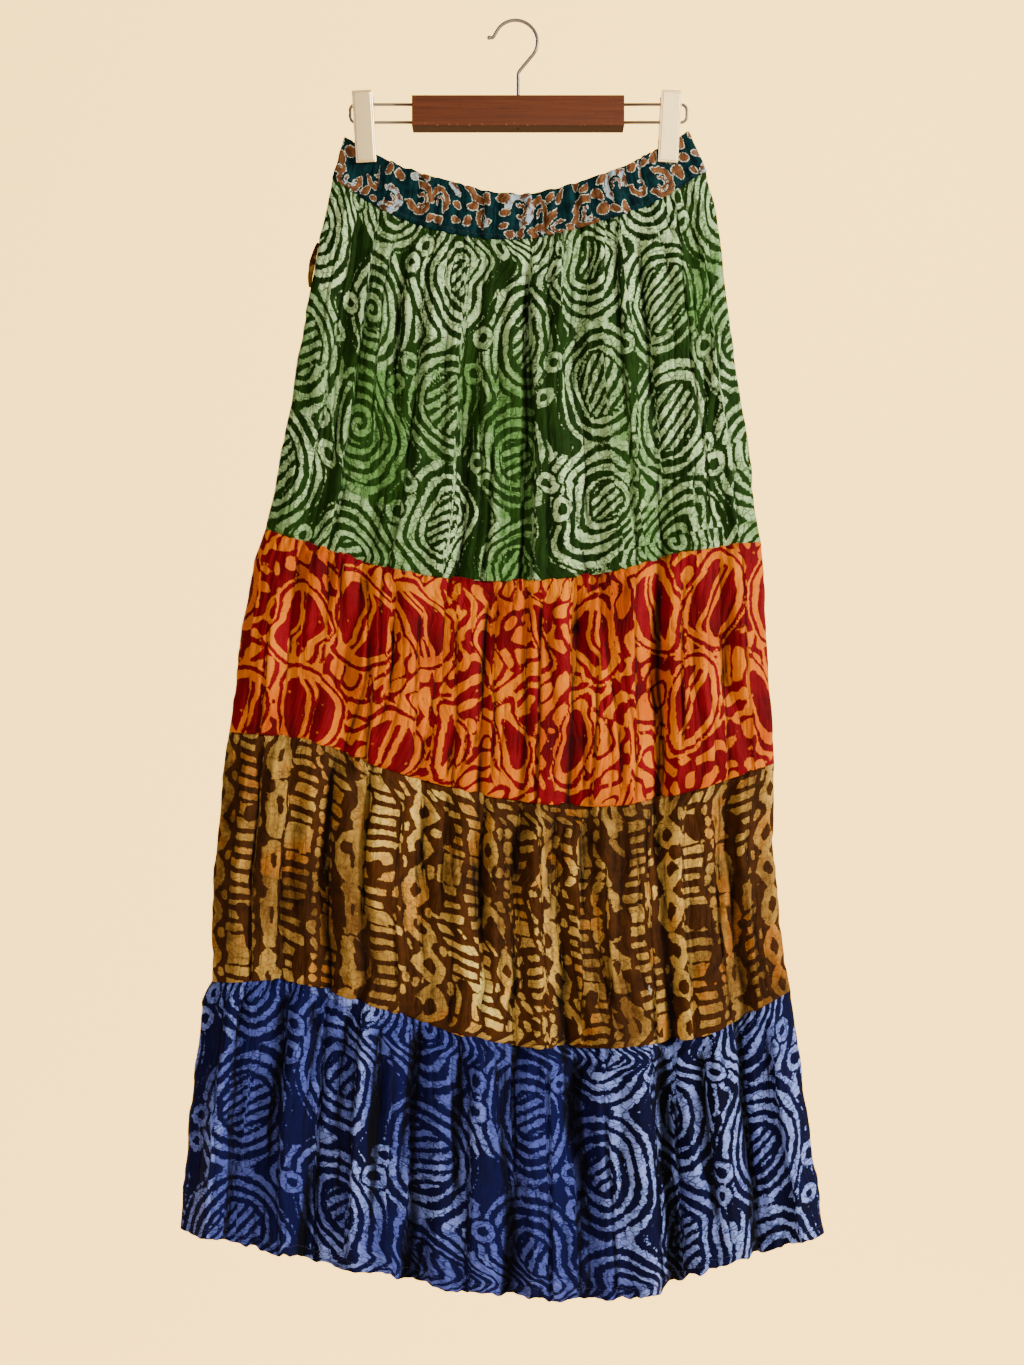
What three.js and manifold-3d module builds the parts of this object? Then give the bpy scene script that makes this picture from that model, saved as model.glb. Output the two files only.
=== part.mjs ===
// A tiered maxi skirt in patchwork cotton, hung by its waistband from a wooden clip hanger.
// Units are millimetres, +Z is up and the front faces -Y. The origin is the inside of the
// hook's crown, where a rail or a nail carries the weight.

import * as THREE from 'three';
import { mergeVertices } from 'three/addons/utils/BufferGeometryUtils.js';
import Module from 'manifold-3d';

const wasm = await Module();
wasm.setup();

// ---------------------------------------------------------------- driving dimensions

const WALL = 1.2;             // thickness of a cloth wall
const SEAM_GAP = 0.3;         // space left between neighbouring pieces
const COLUMNS = 72;           // steps across half of the skirt
const BAND_ROWS = [0, 0.5, 1];
const TIER_ROWS = [0, 0.12, 0.45, 1];
const CORNER_POWER = 3;       // how square the flattened tube is, seen from above
const BACK_DROOP = 0.95;      // how much of the front's droop the back's seams have
const WAIST_DROOP = 1.04;     // the same for the back's upper edge
const SIDE_RUN = 0.05;        // share of a half over which folds fade out at a side seam
const CROWDING = 0.3;         // how much closer the steps across stand near the sides
const PUFF = 2.5;             // how far a tier stands out just below the seam that gathers it
const GATHER_RUN = 0.12;      // share of a tier over which its gathers swell out of the seam

// Height of each edge or seam of the front, at seven stations from left to right.
const STATIONS = [0, 0.15, 0.3, 0.5, 0.7, 0.85, 1];
const LEVELS = [
  { name: 'waist top', depth: 6.5, heights: [-99, -122, -138, -150, -135, -116, -94] },
  { name: 'waist seam', depth: 9, heights: [-135, -164, -182, -189, -174, -156, -129] },
  { name: 'tier 1 to 2', depth: 16, heights: [-436, -456, -474, -482, -474, -457, -447] },
  { name: 'tier 2 to 3', depth: 21, heights: [-610, -618, -642, -666, -673, -660, -637] },
  { name: 'tier 3 to 4', depth: 25, heights: [-824, -823, -844, -874, -877, -866, -831] },
  { name: 'hem', depth: 29, heights: [-1035, -1050, -1066, -1085, -1087, -1058, -1039] },
];

// The outline seen from the front: the sides of the flattened tube at a few heights.
const LEFT_SIDE = [
  { z: -98, x: -147 }, { z: -133, x: -157 }, { z: -188, x: -169 }, { z: -343, x: -198 },
  { z: -436, x: -215 }, { z: -463, x: -225 }, { z: -532, x: -238 }, { z: -608, x: -246 },
  { z: -670, x: -255 }, { z: -738, x: -260 }, { z: -824, x: -262 }, { z: -842, x: -270 },
  { z: -945, x: -281 }, { z: -1035, x: -288 }, { z: -1090, x: -291 },
];
const RIGHT_SIDE = [
  { z: -94, x: 147 }, { z: -129, x: 163 }, { z: -188, x: 174 }, { z: -343, x: 195 },
  { z: -447, x: 209 }, { z: -498, x: 213 }, { z: -637, x: 221 }, { z: -704, x: 220 },
  { z: -773, x: 225 }, { z: -842, x: 236 }, { z: -945, x: 251 }, { z: -1039, x: 263 },
  { z: -1090, x: 267 },
];

// Large folds that run down the skirt: where each starts and ends across the panel, its
// depth at the waist and at the hem, positive outwards, and its width across the panel.
const FRONT_FOLDS = [
  { top: 0.045, bottom: 0.055, topDepth: 0.6, hemDepth: 3, width: 0.020 },
  { top: 0.105, bottom: 0.125, topDepth: -1.0, hemDepth: -4, width: 0.022 },
  { top: 0.155, bottom: 0.160, topDepth: 0.8, hemDepth: 4, width: 0.022 },
  { top: 0.205, bottom: 0.215, topDepth: -1.0, hemDepth: -5, width: 0.024 },
  { top: 0.300, bottom: 0.275, topDepth: 0.8, hemDepth: 4, width: 0.030 },
  { top: 0.400, bottom: 0.350, topDepth: -1.2, hemDepth: -6, width: 0.028 },
  { top: 0.460, bottom: 0.450, topDepth: 0.8, hemDepth: 3, width: 0.030 },
  { top: 0.525, bottom: 0.520, topDepth: -1.0, hemDepth: -4, width: 0.020 },
  { top: 0.570, bottom: 0.570, topDepth: 0.8, hemDepth: 4, width: 0.022 },
  { top: 0.650, bottom: 0.615, topDepth: -1.4, hemDepth: -7, width: 0.022 },
  { top: 0.725, bottom: 0.705, topDepth: 1.2, hemDepth: 6, width: 0.026 },
  { top: 0.800, bottom: 0.768, topDepth: -1.6, hemDepth: -9, width: 0.020 },
  { top: 0.870, bottom: 0.840, topDepth: 1.0, hemDepth: 5, width: 0.022 },
  { top: 0.925, bottom: 0.897, topDepth: -0.8, hemDepth: -5, width: 0.018 },
  { top: 0.960, bottom: 0.955, topDepth: 0.4, hemDepth: 4, width: 0.018 },
];
const BACK_FOLDS = [
  { top: 0.060, bottom: 0.050, topDepth: 0.6, hemDepth: 4, width: 0.022 },
  { top: 0.130, bottom: 0.110, topDepth: -1.0, hemDepth: -5, width: 0.024 },
  { top: 0.200, bottom: 0.180, topDepth: 0.8, hemDepth: 4, width: 0.026 },
  { top: 0.280, bottom: 0.265, topDepth: -1.2, hemDepth: -7, width: 0.024 },
  { top: 0.350, bottom: 0.345, topDepth: 1.0, hemDepth: 5, width: 0.028 },
  { top: 0.440, bottom: 0.430, topDepth: -1.0, hemDepth: -4, width: 0.022 },
  { top: 0.510, bottom: 0.525, topDepth: 0.8, hemDepth: 4, width: 0.030 },
  { top: 0.590, bottom: 0.610, topDepth: -1.4, hemDepth: -8, width: 0.022 },
  { top: 0.670, bottom: 0.690, topDepth: 1.0, hemDepth: 5, width: 0.026 },
  { top: 0.750, bottom: 0.770, topDepth: -1.0, hemDepth: -5, width: 0.024 },
  { top: 0.830, bottom: 0.850, topDepth: 0.8, hemDepth: 5, width: 0.022 },
  { top: 0.900, bottom: 0.915, topDepth: -0.8, hemDepth: -4, width: 0.018 },
];

// The clips press the band flat: where across, how widely, how far down it fades, counted in
// pieces from the waist top, and the least share of a fold that is left.
const PRESS = { left: 0.06, right: 0.94, width: 0.06, fadeFrom: 0.4, fadeTo: 1.4, least: 0.12 };

// Fine gathers of each cloth piece: how many waves there are across a half, their height
// just below the seam that makes them and at the seam below, and where the first one starts.
const GATHERS = [
  { waves: 20, below: 1.0, atBottom: 0.7, start: 0.2 },
  { waves: 17, below: 1.8, atBottom: 0.7, start: 0.7 },
  { waves: 16, below: 2.3, atBottom: 0.8, start: 1.9 },
  { waves: 17, below: 2.5, atBottom: 0.9, start: 3.1 },
  { waves: 16, below: 3.0, atBottom: 2.6, start: 4.4 },
];

// Slow waves that shift the gathers across, so that no two are equally wide.
const DRIFTS = [{ rate: 9.1, size: 0.84, turns: 1 }, { rate: 17.3, size: 0.6, turns: 2 }];

const CLIP = {
  width: 17.5, height: 60.5, top: -61.5, plate: 1.4, flange: 3.2, flangeShare: 0.55,
  flangeRise: 0.14, overlap: 0.2, lean: 5.0, toe: 3.0, jawAtBottom: 3.6,
  springRadius: 4.6, springLength: 12,
};
const CLIP_PLACES = [
  { side: 'left', x: -132.6, toe: -CLIP.toe },
  { side: 'right', x: 132.4, toe: CLIP.toe },
];
const BAR = { length: 181.5, height: 26.4, depth: 21, middleX: 0.9, middleZ: -79.1, round: 1.5 };
const RAIL = {
  radius: 1.3, upperZ: -71, lowerZ: -86.4, leftEnd: -143.6, rightEnd: 146, inBar: 12, bend: 5,
};
const HOOK = {
  radius: 1.5, curl: 18.7, centreX: -1.3, centreZ: -17.2, stemX: 0.9, inBar: 12,
  arcFrom: -0.82, arcTo: 2.72, tipX: -24, tipZ: -13.5, leadX: 3.2, leadZ: 0.3, ball: 1.9,
};
// The wire's way from the top of the bar to the start of the crook's arc.
const HOOK_SWEEP = [{ x: 0, z: 0 }, { x: 0, z: 14 }, { x: 0.4, z: 22 }, { x: 3.4, z: 26.4 }];
const ROUNDNESS = {
  wire: 8, bore: 12, spring: 14, ball: 10, eased: 4, hookArc: 11, hookSteps: 52, railSteps: 48,
};
const POCKET = {
  top: -190, height: 38, proud: 5, pieces: 6, swellFrom: 0.12, swellRun: 0.8, swellPower: 0.7,
  ripple: 0.8, ripples: 5,
};
const POCKET_FOLD = [{ reach: 0, y: 0.6 }, { reach: 0.6, y: 1.2 }, { reach: 1, y: 1.4 }];

const COLOURS = {
  band: 0x0a3c4b, green: 0x3c6e28, orange: 0xd8651e, brown: 0x6b4a1c, blue: 0x27358a,
  wood: 0x7a3a22, steel: 0xb8b4ac, clip: 0xd8cbb8,
};

// ---------------------------------------------------------------- small helpers

function clothMaterial(colour) {
  return new THREE.MeshStandardMaterial({ color: colour, roughness: 0.85, metalness: 0 });
}

function metalMaterial(colour, roughness) {
  return new THREE.MeshStandardMaterial({ color: colour, roughness, metalness: 1 });
}

// A smooth curve through the rows of a table, by Hermite pieces with level-headed slopes.
function smoothThrough(xs, ys, x) {
  const last = xs.length - 1;
  const rising = xs[last] > xs[0] ? 1 : -1;
  let i = 0;
  while (i < last - 1 && rising * (x - xs[i + 1]) > 0) i += 1;
  const slopeAt = (k) => {
    const a = Math.max(k - 1, 0);
    const b = Math.min(k + 1, last);
    return (ys[b] - ys[a]) / (xs[b] - xs[a]);
  };
  const span = xs[i + 1] - xs[i];
  const t = THREE.MathUtils.clamp((x - xs[i]) / span, -0.2, 1.2);
  const t2 = t * t;
  const t3 = t2 * t;
  return (2 * t3 - 3 * t2 + 1) * ys[i] + (t3 - 2 * t2 + t) * span * slopeAt(i)
    + (3 * t2 - 2 * t3) * ys[i + 1] + (t3 - t2) * span * slopeAt(i + 1);
}

// A straight-line reading of a table, for the outline.
function readTable(rows, z) {
  let i = 0;
  while (i < rows.length - 2 && z < rows[i + 1].z) i += 1;
  const t = THREE.MathUtils.clamp((z - rows[i].z) / (rows[i + 1].z - rows[i].z), 0, 1);
  return THREE.MathUtils.lerp(rows[i].x, rows[i + 1].x, t);
}

function bump(x, middle, width) {
  const t = (x - middle) / width;
  return Math.exp(-0.5 * t * t);
}

// A closed wall from a grid of outer points and the same grid of inner points.
function wallGeometry(outer, inner) {
  const rows = outer.length;
  const columns = outer[0].length;
  const positions = [];
  const faces = [];
  for (const grid of [outer, inner]) {
    for (const row of grid) {
      for (const point of row) positions.push(point.x, point.y, point.z);
    }
  }
  const at = (layer, r, c) => layer * rows * columns + r * columns + c;
  const quad = (a, b, c, d) => faces.push(a, b, c, a, c, d);
  for (let r = 0; r < rows - 1; r += 1) {
    for (let c = 0; c < columns - 1; c += 1) {
      quad(at(0, r, c), at(0, r + 1, c), at(0, r + 1, c + 1), at(0, r, c + 1));
      quad(at(1, r, c), at(1, r, c + 1), at(1, r + 1, c + 1), at(1, r + 1, c));
    }
  }
  for (let c = 0; c < columns - 1; c += 1) {
    quad(at(0, 0, c), at(0, 0, c + 1), at(1, 0, c + 1), at(1, 0, c));
    const end = rows - 1;
    quad(at(0, end, c), at(1, end, c), at(1, end, c + 1), at(0, end, c + 1));
  }
  for (let r = 0; r < rows - 1; r += 1) {
    quad(at(0, r, 0), at(1, r, 0), at(1, r + 1, 0), at(0, r + 1, 0));
    const end = columns - 1;
    quad(at(0, r, end), at(0, r + 1, end), at(1, r + 1, end), at(1, r, end));
  }
  const geometry = new THREE.BufferGeometry();
  geometry.setAttribute('position', new THREE.Float32BufferAttribute(positions, 3));
  geometry.setIndex(faces);
  return geometry;
}

function solidOf(geometry) {
  const bare = geometry.index ? geometry.toNonIndexed() : geometry.clone();
  for (const name of Object.keys(bare.attributes)) {
    if (name !== 'position') bare.deleteAttribute(name);
  }
  const merged = mergeVertices(bare, 1e-4);
  return new wasm.Manifold(new wasm.Mesh({
    numProp: 3,
    vertProperties: new Float32Array(merged.attributes.position.array),
    triVerts: new Uint32Array(merged.index.array),
  }));
}

function geometryOf(solid) {
  const mesh = solid.getMesh();
  const geometry = new THREE.BufferGeometry();
  geometry.setAttribute('position', new THREE.Float32BufferAttribute(mesh.vertProperties, 3));
  geometry.setIndex(new THREE.BufferAttribute(mesh.triVerts, 1));
  return geometry;
}

// ---------------------------------------------------------------- the cloth

// Height of a seam at s, 0 at the left side and 1 at the right.
function seamHeight(level, s, back) {
  const heights = LEVELS[level].heights;
  const front = smoothThrough(STATIONS, heights, s);
  if (!back) return front;
  const chord = THREE.MathUtils.lerp(heights[0], heights[6], s);
  const droop = level === 0 ? WAIST_DROOP : BACK_DROOP;
  return chord + (front - chord) * droop;
}

// How far out the flattened tube reaches at s, as a share of its half depth.
function fullness(s) {
  return Math.pow(1 - Math.pow(Math.abs(2 * s - 1), CORNER_POWER), 1 / CORNER_POWER);
}

// Folds and gathers fade out at the side seams, so front and back meet there.
function sideFade(s) {
  return THREE.MathUtils.smoothstep(Math.min(s, 1 - s), 0, SIDE_RUN);
}

// The clips press the band flat.
function clipPress(s, down) {
  const near = Math.max(bump(s, PRESS.left, PRESS.width), bump(s, PRESS.right, PRESS.width));
  return 1 - near * (1 - THREE.MathUtils.smoothstep(down, PRESS.fadeFrom, PRESS.fadeTo));
}

// Large folds at a height: down is 0 at the waist top, 1 at the waist seam and so on.
function foldDepth(folds, s, down) {
  const along = THREE.MathUtils.clamp((down - 1) / 4, 0, 1);
  let depth = 0;
  for (const fold of folds) {
    const middle = THREE.MathUtils.lerp(fold.top, fold.bottom, along);
    const size = THREE.MathUtils.lerp(fold.topDepth, fold.hemDepth, along);
    depth += size * bump(s, middle, fold.width);
  }
  return depth;
}

// One piece's gathers as an uneven wave, between -1 and 1.
function gatherWave(piece, s) {
  const { waves, start } = GATHERS[piece];
  let phase = 2 * Math.PI * waves * s + start;
  for (const drift of DRIFTS) phase += drift.size * Math.sin(drift.rate * s + drift.turns * start);
  return Math.sin(phase);
}

// Fine gathers: a piece starts with the waves of the seam above it, swells into its own
// and calms down towards the seam below.
function gatherDepth(piece, s, v) {
  const row = GATHERS[piece];
  const fall = THREE.MathUtils.smoothstep(v, GATHER_RUN, 1);
  const own = THREE.MathUtils.lerp(row.below, row.atBottom, fall) * gatherWave(piece, s);
  if (piece === 0) return own;
  const above = GATHERS[piece - 1].atBottom * gatherWave(piece - 1, s);
  return THREE.MathUtils.lerp(above, own, THREE.MathUtils.smoothstep(v, 0, GATHER_RUN));
}

// How far a tier stands out below its gathered seam.
function puffDepth(piece, v) {
  if (piece < 2) return 0;
  const rise = THREE.MathUtils.smoothstep(v, 0, GATHER_RUN);
  return PUFF * rise * (1 - THREE.MathUtils.smoothstep(v, GATHER_RUN, 1));
}

// Middle of the cloth at s across and v down one piece.
function clothPoint(piece, back, s, v) {
  const down = piece + v;
  const z = THREE.MathUtils.lerp(seamHeight(piece, s, back), seamHeight(piece + 1, s, back), v);
  const left = readTable(LEFT_SIDE, z);
  const right = readTable(RIGHT_SIDE, z);
  const depth = THREE.MathUtils.lerp(LEVELS[piece].depth, LEVELS[piece + 1].depth, v)
    + puffDepth(piece, v);
  const press = clipPress(s, down);
  const folds = foldDepth(back ? BACK_FOLDS : FRONT_FOLDS, s, down);
  const gathers = gatherDepth(piece, back ? 1 - s : s, v);
  const out = Math.max(depth * fullness(s) * press, (WALL / 2 + SEAM_GAP) * sideFade(s));
  const y = SEAM_GAP / 2 + out + (folds + gathers) * sideFade(s) * Math.max(press, PRESS.least);
  return new THREE.Vector3(THREE.MathUtils.lerp(left, right, s), back ? y : -y, z);
}

// Steps across a panel, closer together where the tube turns round at its sides.
function stepsAcross() {
  const steps = [];
  for (let i = 0; i <= COLUMNS; i += 1) {
    const t = i / COLUMNS;
    const rounded = 0.5 - 0.5 * Math.cos(Math.PI * t);
    steps.push(THREE.MathUtils.lerp(t, rounded, CROWDING));
  }
  return steps;
}

// The direction out of the cloth at one step of a row, level with the ground.
function outwards(line, step, back) {
  if (step === 0) return new THREE.Vector3(-1, 0, 0);
  if (step === COLUMNS) return new THREE.Vector3(1, 0, 0);
  const along = line[step + 1].clone().sub(line[step - 1]);
  const normal = new THREE.Vector3(along.y, -along.x, 0).normalize();
  return back ? normal.negate() : normal;
}

// One panel as a closed wall: its middle surface moved half the wall out and in, and its
// upper and lower edges drawn back to leave room for the seams.
function panelGeometry(piece, back, rows) {
  const steps = stepsAcross();
  const outer = [];
  const inner = [];
  for (const v of rows) {
    const line = steps.map((s) => clothPoint(piece, back, s, v));
    const draw = v === 0 ? -SEAM_GAP / 2 : (v === 1 ? SEAM_GAP / 2 : 0);
    const drawn = new THREE.Vector3(0, 0, draw);
    const moved = (distance) => line.map((point, step) => (
      point.clone().addScaledVector(outwards(line, step, back), distance).add(drawn)));
    outer.push(moved(WALL / 2));
    inner.push(moved(-WALL / 2));
  }
  return back ? wallGeometry(inner, outer) : wallGeometry(outer, inner);
}

function panelMesh(name, piece, back, colour) {
  const geometry = panelGeometry(piece, back, piece === 0 ? BAND_ROWS : TIER_ROWS);
  const mesh = new THREE.Mesh(geometry, clothMaterial(colour));
  mesh.name = name;
  return mesh;
}

// The scrap of pocket cloth that stands out of the left side seam, folded once.
function pocketEdge() {
  const outer = [];
  const inner = [];
  for (let i = 0; i <= POCKET.pieces; i += 1) {
    const t = i / POCKET.pieces;
    const z = POCKET.top - t * POCKET.height;
    const side = readTable(LEFT_SIDE, z) - WALL / 2 - SEAM_GAP;
    const swell = Math.sin(Math.PI * (POCKET.swellFrom + POCKET.swellRun * t));
    const proud = POCKET.proud * Math.pow(swell, POCKET.swellPower);
    const ripple = POCKET.ripple * Math.sin(POCKET.ripples * t);
    const outerRow = [];
    const innerRow = [];
    for (const { reach, y } of POCKET_FOLD) {
      const x = side - reach * proud;
      outerRow.push(new THREE.Vector3(x, y + ripple * reach - WALL, z));
      innerRow.push(new THREE.Vector3(x, y + ripple * reach, z));
    }
    outer.push(outerRow.reverse());
    inner.push(innerRow.reverse());
  }
  const mesh = new THREE.Mesh(wallGeometry(outer, inner), clothMaterial(COLOURS.brown));
  mesh.name = 'pocket_edge';
  return mesh;
}

// ---------------------------------------------------------------- the hanger

// A round bar along Y, its middle at the origin.
function roundBar(radius, length, sides) {
  return new THREE.CylinderGeometry(radius, radius, length, sides);
}

// The wooden bar, its long edges eased, bored for the wires and for the hook.
function hangerBar() {
  const half = { y: BAR.depth / 2, z: BAR.height / 2 };
  const outline = new THREE.Shape();
  outline.moveTo(-half.y + BAR.round, -half.z);
  outline.lineTo(half.y - BAR.round, -half.z);
  outline.absarc(half.y - BAR.round, -half.z + BAR.round, BAR.round, -Math.PI / 2, 0, false);
  outline.absarc(half.y - BAR.round, half.z - BAR.round, BAR.round, 0, Math.PI / 2, false);
  outline.absarc(-half.y + BAR.round, half.z - BAR.round, BAR.round, Math.PI / 2, Math.PI, false);
  outline.absarc(-half.y + BAR.round, -half.z + BAR.round, BAR.round, Math.PI, 1.5 * Math.PI, false);
  const body = new THREE.ExtrudeGeometry(outline, {
    depth: BAR.length, bevelEnabled: false, curveSegments: ROUNDNESS.eased,
  });
  body.rotateY(Math.PI / 2);
  body.rotateX(Math.PI / 2);
  body.translate(BAR.middleX - BAR.length / 2, 0, BAR.middleZ);
  let solid = solidOf(body);
  const hole = RAIL.radius + SEAM_GAP;
  const deep = RAIL.inBar + SEAM_GAP;
  for (const end of [-1, 1]) {
    for (const z of [RAIL.upperZ, RAIL.lowerZ]) {
      const bore = roundBar(hole, 2 * deep, ROUNDNESS.bore);
      bore.rotateZ(Math.PI / 2);
      bore.translate(BAR.middleX + end * BAR.length / 2, 0, z);
      solid = solid.subtract(solidOf(bore));
    }
  }
  const stemDeep = 2 * (HOOK.inBar + SEAM_GAP);
  const stemBore = roundBar(HOOK.radius + SEAM_GAP, stemDeep, ROUNDNESS.bore);
  stemBore.rotateX(Math.PI / 2);
  stemBore.translate(HOOK.stemX, 0, BAR.middleZ + half.z);
  solid = solid.subtract(solidOf(stemBore));
  const material = new THREE.MeshStandardMaterial({
    color: COLOURS.wood, roughness: 0.45, metalness: 0,
  });
  const mesh = new THREE.Mesh(geometryOf(solid), material);
  mesh.name = 'hanger_bar';
  return mesh;
}

function ringShape(radius, sides) {
  const points = [];
  for (let i = 0; i < sides; i += 1) {
    const a = (2 * Math.PI * i) / sides;
    points.push(new THREE.Vector2(radius * Math.cos(a), radius * Math.sin(a)));
  }
  return new THREE.Shape(points);
}

function wireAlong(path, radius, sides, steps) {
  return new THREE.ExtrudeGeometry(ringShape(radius, sides), {
    steps, bevelEnabled: false, extrudePath: path,
  });
}

// The question-mark hook: a straight stem, a sweep to the right and most of a circle.
function hangerHook() {
  const barTop = BAR.middleZ + BAR.height / 2;
  const points = [new THREE.Vector3(HOOK.stemX, 0, barTop - HOOK.inBar)];
  for (const { x, z } of HOOK_SWEEP) {
    points.push(new THREE.Vector3(HOOK.stemX + x, 0, barTop + z));
  }
  for (let i = 0; i <= ROUNDNESS.hookArc; i += 1) {
    const a = THREE.MathUtils.lerp(HOOK.arcFrom, HOOK.arcTo, i / ROUNDNESS.hookArc);
    points.push(new THREE.Vector3(
      HOOK.centreX + HOOK.curl * Math.cos(a), 0, HOOK.centreZ + HOOK.curl * Math.sin(a)));
  }
  points.push(new THREE.Vector3(HOOK.tipX + HOOK.leadX, 0, HOOK.tipZ + HOOK.leadZ));
  points.push(new THREE.Vector3(HOOK.tipX, 0, HOOK.tipZ));
  const path = new THREE.CatmullRomCurve3(points, false, 'centripetal');
  const wire = solidOf(wireAlong(path, HOOK.radius, ROUNDNESS.wire, ROUNDNESS.hookSteps));
  const ball = new THREE.SphereGeometry(HOOK.ball, ROUNDNESS.ball, ROUNDNESS.wire);
  ball.translate(HOOK.tipX, 0, HOOK.tipZ);
  const solid = wire.add(solidOf(ball));
  const mesh = new THREE.Mesh(geometryOf(solid), metalMaterial(COLOURS.steel, 0.25));
  mesh.name = 'hanger_hook';
  return mesh;
}

// One wire loop: two legs out of the bar's end, joined by a round bend.
function rail(side) {
  const sign = side === 'left' ? -1 : 1;
  const start = BAR.middleX + sign * (BAR.length / 2 - RAIL.inBar);
  const end = side === 'left' ? RAIL.leftEnd : RAIL.rightEnd;
  const turn = end - sign * RAIL.bend;
  const path = new THREE.CurvePath();
  const corner = (x0, z0, xc, zc, x1, z1) => new THREE.QuadraticBezierCurve3(
    new THREE.Vector3(x0, 0, z0), new THREE.Vector3(xc, 0, zc), new THREE.Vector3(x1, 0, z1));
  const upper = RAIL.upperZ;
  const lower = RAIL.lowerZ;
  path.add(new THREE.LineCurve3(
    new THREE.Vector3(start, 0, upper), new THREE.Vector3(turn, 0, upper)));
  path.add(corner(turn, upper, end, upper, end, upper - RAIL.bend));
  path.add(new THREE.LineCurve3(
    new THREE.Vector3(end, 0, upper - RAIL.bend), new THREE.Vector3(end, 0, lower + RAIL.bend)));
  path.add(corner(end, lower + RAIL.bend, end, lower, turn, lower));
  path.add(new THREE.LineCurve3(
    new THREE.Vector3(turn, 0, lower), new THREE.Vector3(start, 0, lower)));
  const geometry = wireAlong(path, RAIL.radius, ROUNDNESS.wire, ROUNDNESS.railSteps);
  const mesh = new THREE.Mesh(geometryOf(solidOf(geometry)), metalMaterial(COLOURS.steel, 0.25));
  mesh.name = `rail_${side}`;
  return mesh;
}

// A jaw is a plate with its two long edges folded in, cut away below so that only the
// plate's foot presses on the cloth.
function jaw(place, front) {
  const plate = new THREE.BoxGeometry(CLIP.width, CLIP.plate, CLIP.height);
  let solid = solidOf(plate);
  const flangeHeight = CLIP.height * CLIP.flangeShare;
  for (const edge of [-1, 1]) {
    const flange = new THREE.BoxGeometry(CLIP.plate, CLIP.flange, flangeHeight);
    flange.translate(
      edge * (CLIP.width - CLIP.plate) / 2,
      (CLIP.flange + CLIP.plate) / 2 - CLIP.overlap,
      CLIP.height * CLIP.flangeRise);
    solid = solid.add(solidOf(flange));
  }
  const geometry = geometryOf(solid);
  const lean = THREE.MathUtils.degToRad(CLIP.lean);
  const toe = THREE.MathUtils.degToRad(place.toe);
  geometry.translate(0, -CLIP.plate / 2, CLIP.height / 2);
  geometry.rotateX(lean);
  geometry.translate(0, -CLIP.jawAtBottom, -CLIP.height);
  if (!front) geometry.rotateZ(Math.PI);
  geometry.rotateY(toe);
  geometry.translate(place.x, 0, CLIP.top);
  const mesh = new THREE.Mesh(geometry, metalMaterial(COLOURS.clip, 0.32));
  mesh.name = `clip_${place.side}_${front ? 'front' : 'back'}_jaw`;
  return mesh;
}

// The coiled spring between the jaws, as the round roll that it makes.
function spring(place) {
  const roll = roundBar(CLIP.springRadius, CLIP.springLength, ROUNDNESS.spring);
  roll.rotateZ(Math.PI / 2);
  const middle = (RAIL.upperZ + RAIL.lowerZ) / 2;
  roll.translate(place.x, 0, middle);
  const mesh = new THREE.Mesh(roll, metalMaterial(COLOURS.steel, 0.3));
  mesh.name = `clip_${place.side}_spring`;
  return mesh;
}

// ---------------------------------------------------------------- the whole

const skirtOnHanger = new THREE.Group();
const CLOTHS = [
  { name: 'waistband', colour: COLOURS.band },
  { name: 'tier_1', colour: COLOURS.green },
  { name: 'tier_2', colour: COLOURS.orange },
  { name: 'tier_3', colour: COLOURS.brown },
  { name: 'tier_4', colour: COLOURS.blue },
];
CLOTHS.forEach((cloth, piece) => {
  skirtOnHanger.add(panelMesh(`${cloth.name}_front`, piece, false, cloth.colour));
  skirtOnHanger.add(panelMesh(`${cloth.name}_back`, piece, true, cloth.colour));
});
skirtOnHanger.add(pocketEdge());
skirtOnHanger.add(hangerBar());
skirtOnHanger.add(hangerHook());
for (const side of ['left', 'right']) skirtOnHanger.add(rail(side));
for (const place of CLIP_PLACES) {
  skirtOnHanger.add(jaw(place, true));
  skirtOnHanger.add(jaw(place, false));
  skirtOnHanger.add(spring(place));
}

export default skirtOnHanger;
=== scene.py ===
# %% [markdown]
# # A tiered batik skirt on a clip hanger
#
# The skirt is five rings of thin cotton: an elastic waistband and four gathered tiers, each
# cut from another batik. It hangs flat from two metal clips on a wooden bar. Everything is
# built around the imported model, in metres, with +Z up and the front towards -Y. Sizes of the
# cloth are written in millimetres, as a maker would, and turned into metres at the end.

# %% Load the frame
import math

import bpy
import bmesh
import numpy as np
from mathutils import Matrix, Vector


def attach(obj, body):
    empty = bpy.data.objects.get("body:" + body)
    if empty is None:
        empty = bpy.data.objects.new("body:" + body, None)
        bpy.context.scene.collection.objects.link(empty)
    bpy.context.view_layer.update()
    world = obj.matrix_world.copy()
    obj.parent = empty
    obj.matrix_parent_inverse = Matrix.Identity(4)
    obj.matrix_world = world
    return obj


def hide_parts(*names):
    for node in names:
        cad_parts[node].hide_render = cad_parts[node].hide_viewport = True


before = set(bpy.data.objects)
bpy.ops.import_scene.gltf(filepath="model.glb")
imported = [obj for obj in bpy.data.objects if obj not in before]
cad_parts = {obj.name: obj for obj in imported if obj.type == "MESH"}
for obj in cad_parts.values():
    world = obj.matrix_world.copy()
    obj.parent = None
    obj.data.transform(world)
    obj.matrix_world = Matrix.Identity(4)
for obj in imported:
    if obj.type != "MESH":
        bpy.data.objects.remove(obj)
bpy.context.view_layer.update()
MM = 0.001
print("frame:", len(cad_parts), "nodes")

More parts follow.
